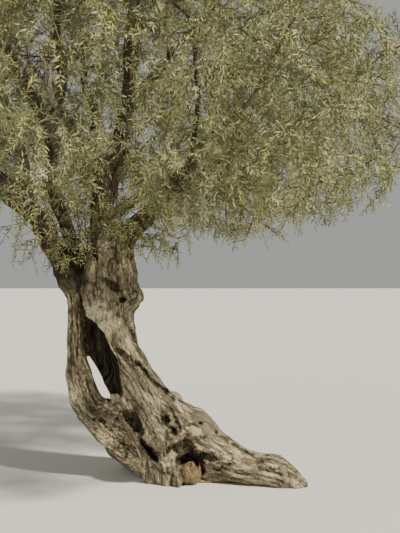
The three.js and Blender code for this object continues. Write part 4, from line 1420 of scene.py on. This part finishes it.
def line_mesh(name, lines):
    """A mesh of separate lines of points, each point with its thickness."""
    mesh = bpy.data.meshes.new(name)
    points = np.vstack(lines)
    firsts = np.concatenate([[0], np.cumsum([len(line) for line in lines])])
    edges = np.column_stack([np.arange(len(points) - 1), np.arange(1, len(points))])
    edges = edges[~np.isin(edges[:, 1], firsts)]
    mesh.from_pydata(points[:, :3].tolist(), edges.tolist(), [])
    put_marks(mesh, {"thickness": points[:, 3]})
    return mesh


def add_twigs(plant, name, sides, lines, wood_material=twig_recipe.material):
    """The twigs along some lines as one piece, which stands for its mass if it has one."""
    piece = made_by(twig_tree, plant + name, line_mesh(plant, lines),
                    {"Sides": sides, "Wood": wood_material})
    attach(piece, "root")
    if plant in MASSES:
        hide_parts(plant)


def fine_lines(shoots):
    """Shoots as tapered lines, with every other point left out."""
    return [tapered(path[[*range(0, len(path) - 1, 2), -1]], SHOOT["radius"], SHOOT["tip_radius"])
            for path in shoots]


shoots_of = {}
for seed, (name, limb) in enumerate(LIMBS.items()):
    m, draw = mass_number[limb["mass"]], seeded_draws(SEED + seed)
    chance = np.random.default_rng(SEED + seed)
    stem = stem_of(limb, limb_rounds[name], draw)
    twigs = first_twigs(m, stem, draw)
    stout = [smooth_stations(np.column_stack([stem.at, stem.radius]), 4)]
    stout += [smooth_stations(tapered(path, TWIG["radius"], TWIG["tip_radius"]), 5) for path in twigs]

    def fits(points):
        return keeps_to(points, m, FINE_MARGIN, CROSSING) & (limb_gap(points) > CLEAR_LIMB)

    stout_points = [line[1:, :3] for line in stout]
    branchlets = branchlets_of(stout_points, fits, centres[m] - sizes[m], centres[m] + sizes[m], chance)
    shoots = left_shoots(offshoots([stem.at[3:], *twigs, *branchlets], SHOOT, fits, chance), chance)
    shoots_of[limb["mass"]] = shoots
    stout += [tapered(path, BRANCHLET["radius"], BRANCHLET["tip_radius"]) for path in branchlets]
    add_twigs(limb["mass"], "_branchlets", 6, stout)
    add_twigs(limb["mass"], "_shoots", 3, fine_lines(shoots))


# Thin sprouts have come out of the old bark round the fork and along each bough. They are
# this year's and last year's wood, pale and whippy. They grow straight from the bark and
# bear shorter shoots of their own.
SPROUTS = {"first": 1.2, "last": 7.5, "gap": 0.060, "step": 0.050, "most": 7, "splay": 38,
           "wander": 0.42, "lift": -0.02, "sway": 0.12, "radius": 0.0032, "tip_radius": 0.0012}
SIDE_SPROUT = {**SHOOT, "gap": 0.060, "most": 4}
# Sprouts begin this share of the way out to the bark, and lean so far along their bough.
SPROUT_ROOT = 0.9
SPROUT_LEAN = 0.4
# How many sprouts each bough bears, and which way they lean.
ON_BOUGHS = {
    "left_bough": (11, (0, 0, 0)), "inner_left_bough": (7, (0, 0, 0)), "centre_bough": (11, (0, 0, 0)),
    "right_bough": (40, (0.2, -0.9, -0.1)), "back_bough": (14, (0, 0, 0)),
}
# Where tufts of sprouts leave the front of the trunk, as X and Z, and how many sprouts of
# how many steps at most each has.
TUFTS = [(-0.940, 1.640), (-0.870, 1.620), (-0.800, 1.640), (-0.740, 1.620), (-0.700, 1.690),
    (-0.620, 1.730), (-0.550, 1.700)]
PER_TUFT = 3
TUFT_STEPS = 5
# How widely a tuft is rooted and how far under the bark, which way it grows, and how far
# its sprouts spread.
TUFT_WIDTH = 0.02
TUFT_DEPTH = 0.006
TUFT_FACES = (0, -0.8, 0.6)
TUFT_SPREAD = 0.45
# No sprout hangs lower than this.
LOWEST_SPROUT = 1.52


def clear_of_wood(points):
    """True where points are clear of the limbs and of the trunk."""
    cells = ((points - GRID_LOW) / GRID_STEP).round().astype(int)
    gridded = np.all((cells >= 0) & (cells < grid_shape), axis=-1)
    held = np.where(gridded[..., None], cells, 0)
    bark_gap = np.where(gridded, wood[tuple(np.moveaxis(held, -1, 0))], 1)
    return (bark_gap > CLEAR_LIMB) & (limb_gap(points) > CLEAR_LIMB)


def sprout_from(root, heading, most):
    """The path of a sprout from the bark, which stops short of other wood."""
    path = [root]
    for step in range(chance.integers(3, most + 1)):
        shake = chance.normal(0, SPROUTS["wander"] / BELL_SHARE, 3)
        heading = unit(heading + shake + (0, 0, SPROUTS["lift"]))
        ahead = path[-1] + heading * SPROUTS["step"]
        if ahead[2] < LOWEST_SPROUT or (step and not clear_of_wood(ahead[None])[0]):
            break
        path.append(ahead)
    return np.array(path)


chance = np.random.default_rng(SEED + 50)
sprouts = []
for name, (count, lean) in ON_BOUGHS.items():
    rounds = limb_rounds[name]
    for place in chance.uniform(SPROUTS["first"], SPROUTS["last"], count):
        ring = min(int(place), len(rounds.at) - 2)
        angle = chance.uniform(0, 2 * math.pi)
        outward = rounds.side[ring] * math.cos(angle) + rounds.across[ring] * math.sin(angle)
        middle = rounds.at[ring] + (rounds.at[ring + 1] - rounds.at[ring]) * (place - ring)
        root = middle + outward * rounds.radius[ring] * SPROUT_ROOT
        heading = unit(outward + SPROUT_LEAN * rounds.along[ring] + lean)
        sprouts.append(sprout_from(root, heading, SPROUTS["most"]))
shaken = chance.normal(0, TUFT_WIDTH, (len(TUFTS) * PER_TUFT, 2))
for x, z in np.repeat(TUFTS, PER_TUFT, axis=0) + shaken:
    root = np.array([x, front_of(x, z) + TUFT_DEPTH, z])
    heading = unit(chance.normal(0, TUFT_SPREAD, 3) + TUFT_FACES)
    sprouts.append(sprout_from(root, heading, TUFT_STEPS))
sprouts = [path for path in sprouts if len(path) > 3]
side_sprouts = offshoots(sprouts, SIDE_SPROUT, clear_of_wood, chance)
sprout_lines = [tapered(path, SPROUTS["radius"], SPROUTS["tip_radius"]) for path in sprouts]
add_twigs("fork_sprouts", "_twigs", 5, sprout_lines + fine_lines(side_sprouts))
shoots_of["fork_sprouts"] = [path[1:] for path in sprouts] + side_sprouts


# The leader of the right bough is a thin upright limb with grey-brown bark. It leaves the
# bough near its end, forks, and bears leafy shoots all along.
LEADER_SHOOT = {**SHOOT, "gap": 0.035}
leader_paths = [line[::2, :3] for line in leader_lines]
leader_shoots = offshoots(leader_paths, LEADER_SHOOT, clear_of_wood, chance)
add_twigs("right_leader", "_wood", 8, leader_lines, limb_material)
add_twigs("right_leader", "_shoots", 3, fine_lines(leader_shoots))
shoots_of["right_leader"] = leader_shoots


# The dead stub among the left boughs is hard wood that has lost its bark and twigs. The sun
# has bleached it pale, with grey streaks along the grain. It stands on the top left limb
# and forks at its top.
DEAD_PALE = colour(196, 186, 164)
DEAD_GREY = colour(128, 118, 100)

dead_wood = Recipe("dead_wood", roughness=0.85, specular=0.2)
where = dead_wood.add("ShaderNodeTexCoord").outputs["Object"]
upright = dead_wood.add("ShaderNodeMapping", {"Vector": where, "Scale": (1, 1, 0.15)}).outputs["Vector"]
dead_tone = dead_wood.mixed(dead_wood.spots(upright, 70, 0.42, 0.62), DEAD_PALE, DEAD_GREY)
dead_wood.put(dead_wood.shader.inputs["Base Color"], dead_tone)
add_twigs("pale_stub", "_wood", 12, stub_lines, dead_wood.material)


# The narrow leathery leaves, about 4 cm long, stand in pairs along each shoot, every pair
# crossed to the last, and one at the tip. Each shoot's leaves share one tint, from the
# yellow-green of new growth to dark green and the silver of undersides.
LEAF_LENGTH = 0.043
LEAF_WIDTH = 0.0086
LEAF_PAIRS_PER_STEP = 2
# How far leaves open from their shoot in degrees, how they droop and face up, and by how
# much the opening, the facing and the turn round the shoot vary.
LEAF_OPENED, OPENING_VARIES = 50, 15
LEAF_DROOP = (0, 0, 0.04)
FACE_UP, FACING_VARIES = (0, 0, 0.7), 0.35
TURN_VARIES = 0.3
# The smallest and the largest leaf of a pair and at a tip, as shares of full size, and how
# much smaller the last pairs are.
PAIR_SIZES = (0.72, 1.12)
TIP_SIZES = (0.6, 0.9)
LAST_SMALLER = 0.25
# Where on its part of the shoot a pair stands, and how much the facing of tips varies.
PAIR_PLACE = 0.6
TIP_FACING_VARIES = 0.5
# A direction that no shoot takes.
ASKEW = (0.31, 0.52, 0.79)
LEAF_SEED = 900
# Each tint's colour and the share of the shoots that have it.
LEAF_TINTS = {
    "leaf_khaki": (colour(158, 156, 108), 0.32),
    "leaf_olive": (colour(116, 121, 76), 0.26),
    "leaf_deep": (colour(80, 87, 53), 0.15),
    "leaf_silver": (colour(170, 171, 134), 0.14),
    "leaf_new": (colour(170, 169, 102), 0.12),
}

leaf_materials = {}
for name, (tint, _) in LEAF_TINTS.items():
    recipe = Recipe(name, roughness=0.5, specular=0.35)
    recipe.put(recipe.shader.inputs["Base Color"], tint)
    leaf_materials[name] = recipe.material

blade_points = [(0, 0, 0), (0.42, -0.5, 0.03), (1, 0, -0.05), (0.42, 0.5, 0.03)]
blade_faces = [(0, 1, 2), (0, 2, 3)]
blade = mesh_piece("leaf_blade", blade_points, blade_faces, [])

leaf_tree = node_tree("leaf_growth", [
    ("Blade", "NodeSocketObject", None),
    ("Leaf length", "NodeSocketFloat", LEAF_LENGTH),
    ("Leaf width", "NodeSocketFloat", LEAF_WIDTH),
    *((tint, "NodeSocketMaterial", None) for tint in LEAF_TINTS),
])
given = tree_node(leaf_tree, "NodeGroupInput")
aim, face = (
    tree_node(leaf_tree, "GeometryNodeInputNamedAttribute", {"Name": name}, data_type="FLOAT_VECTOR")
    for name in ("aim", "face")
)
grown = tree_node(leaf_tree, "GeometryNodeInputNamedAttribute", {"Name": "grown"}, data_type="FLOAT")
turned = tree_node(leaf_tree, "FunctionNodeAxesToRotation", {
    "Primary Axis": aim.outputs["Attribute"], "Secondary Axis": face.outputs["Attribute"],
}, primary_axis="X", secondary_axis="Z")
long, wide = given.outputs["Leaf length"], given.outputs["Leaf width"]
full_size = tree_node(leaf_tree, "ShaderNodeCombineXYZ", {"X": long, "Y": wide, "Z": long})
size = tree_node(leaf_tree, "ShaderNodeVectorMath", {0: full_size.outputs["Vector"]}, operation="SCALE")
leaf_tree.links.new(grown.outputs["Attribute"], size.inputs["Scale"])
blade_shape = tree_node(leaf_tree, "GeometryNodeObjectInfo", {"Object": given.outputs["Blade"]})
leaves = tree_node(leaf_tree, "GeometryNodeInstanceOnPoints", {
    "Points": given.outputs["Geometry"], "Instance": blade_shape.outputs["Geometry"],
    "Rotation": turned.outputs["Rotation"], "Scale": size.outputs["Vector"],
})
result = tree_node(leaf_tree, "GeometryNodeRealizeInstances", {"Geometry": leaves.outputs["Instances"]})
result = result.outputs["Geometry"]
for number, tint in enumerate(LEAF_TINTS):
    dealt = tree_node(leaf_tree, "GeometryNodeInputNamedAttribute", {"Name": "tint"}, data_type="INT")
    same = tree_node(leaf_tree, "FunctionNodeCompare", data_type="INT", operation="EQUAL")
    leaf_tree.links.new(dealt.outputs["Attribute"], same.inputs[2])
    same.inputs[3].default_value = number
    painted = tree_node(leaf_tree, "GeometryNodeSetMaterial", {
        "Geometry": result, "Selection": same.outputs["Result"], "Material": given.outputs[tint],
    })
    result = painted.outputs["Geometry"]
tree_node(leaf_tree, "NodeGroupOutput", {"Geometry": result})


def leaf_spots(shoots, chance):
    """Where leaves stand on some shoots: place, aim, the way they face, size and tint."""
    longest = max(len(path) for path in shoots)
    counts = np.array([len(path) - 1 for path in shoots])
    walk = np.stack([np.vstack([path, np.repeat(path[-1:], longest - len(path), 0)]) for path in shoots])
    weights = np.array([share for _, share in LEAF_TINTS.values()])
    tints = chance.choice(len(weights), len(shoots), p=weights / weights.sum())
    roll = chance.uniform(0, 2 * math.pi, len(shoots))
    leaves_at = []
    for k in range(longest - 1):
        held = np.flatnonzero(counts > k)
        start, leg = walk[held, k], walk[held, k + 1] - walk[held, k]
        along = unit(leg)
        side = unit(np.cross(along, ASKEW))
        across = np.cross(along, side)
        last = counts[held] == k + 1
        for pair in range(LEAF_PAIRS_PER_STEP):
            for opposite in (0, math.pi):
                turn = roll[held] + opposite + (k * LEAF_PAIRS_PER_STEP + pair) * math.pi / 2
                turn = (turn + chance.normal(0, TURN_VARIES, len(held)))[:, None]
                outward = side * np.cos(turn) + across * np.sin(turn)
                opened = np.radians(chance.normal(LEAF_OPENED, OPENING_VARIES, len(held)))[:, None]
                aim = along * np.cos(opened) + outward * np.sin(opened) - LEAF_DROOP
                facing = along + FACE_UP + chance.normal(0, FACING_VARIES, (len(held), 3))
                grown = chance.uniform(*PAIR_SIZES, len(held)) * (1 - LAST_SMALLER * last)
                place = start + leg * ((pair + PAIR_PLACE) / LEAF_PAIRS_PER_STEP)
                leaves_at.append((place, unit(aim), unit(facing), grown, tints[held]))
    tips = np.stack([path[-2:] for path in shoots])
    facing = unit(chance.normal(0, TIP_FACING_VARIES, (len(shoots), 3)) + (0, 0, 1))
    leaves_at.append((tips[:, 1], unit(tips[:, 1] - tips[:, 0]), facing,
                      chance.uniform(*TIP_SIZES, len(shoots)), tints))
    return [np.concatenate(values) for values in zip(*leaves_at)]


for seed, (mass, shoots) in enumerate(shoots_of.items()):
    places, *marks = leaf_spots(shoots, np.random.default_rng(LEAF_SEED + seed))
    plan = bpy.data.meshes.new(mass)
    plan.from_pydata(places.tolist(), [], [])
    put_marks(plan, dict(zip(("aim", "face", "grown", "tint"), marks)))
    piece = made_by(leaf_tree, mass + "_leaves", plan, {
        "Blade": blade, "Leaf length": LEAF_LENGTH, "Leaf width": LEAF_WIDTH, **leaf_materials,
    })
    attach(piece, "root")
    if mass in MASSES:
        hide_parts(mass)
bpy.data.objects.remove(blade)


# The stage: a plain pale floor under soft studio light, and the camera where the photo
# was taken from, at eye height and looking a little down at the trunk.
FLOOR_SIZE = 60
FLOOR_TOP = -0.001
FLOOR_PALE = colour(214, 212, 204)
SKY_COLOUR = (0.86, 0.88, 0.83, 1)
SKY_STRENGTH = 0.45
PITCH_DOWN = 1.1
FOCAL_PIXELS, IMAGE_HEIGHT, SENSOR = 864, 533, 36

floor_recipe = Recipe("pale_floor", roughness=0.9, specular=0.1)
floor_recipe.put(floor_recipe.shader.inputs["Base Color"], FLOOR_PALE)
edge = FLOOR_SIZE / 2
corners = [(x, y, FLOOR_TOP) for x, y in ((-edge, -edge), (edge, -edge), (edge, edge), (-edge, edge))]
floor = mesh_piece("floor", corners, [(0, 1, 2, 3)], [floor_recipe.material])

world = bpy.data.worlds.new("soft_sky")
world.use_nodes = True
sky = world.node_tree.nodes["Background"].inputs
sky["Color"].default_value = SKY_COLOUR
sky["Strength"].default_value = SKY_STRENGTH
bpy.context.scene.world = world


def add_sun(name, strength, spread, bearing, height, tone):
    """A soft distant light; bearing is turned from the camera's side to the right."""
    light = bpy.data.lights.new(name, "SUN")
    light.energy, light.angle, light.color = strength, math.radians(spread), tone
    lamp = bpy.data.objects.new(name, light)
    lamp.rotation_euler = (math.radians(90 - height), 0, math.radians(bearing))
    bpy.context.scene.collection.objects.link(lamp)
    return lamp


key = add_sun("key_light", strength=5.9, spread=4, bearing=52, height=44, tone=(1, 0.945, 0.85))
fill = add_sun("fill_light", strength=0.6, spread=60, bearing=-30, height=20, tone=(0.95, 0.97, 1))

lens = bpy.data.cameras.new("photo_lens")
lens.sensor_width = SENSOR
lens.lens = FOCAL_PIXELS / IMAGE_HEIGHT * SENSOR
camera = bpy.data.objects.new("photo_camera", lens)
camera.location = EYE
camera.rotation_euler = (math.radians(90 - PITCH_DOWN), 0, 0)
bpy.context.scene.collection.objects.link(camera)
bpy.context.scene.camera = camera
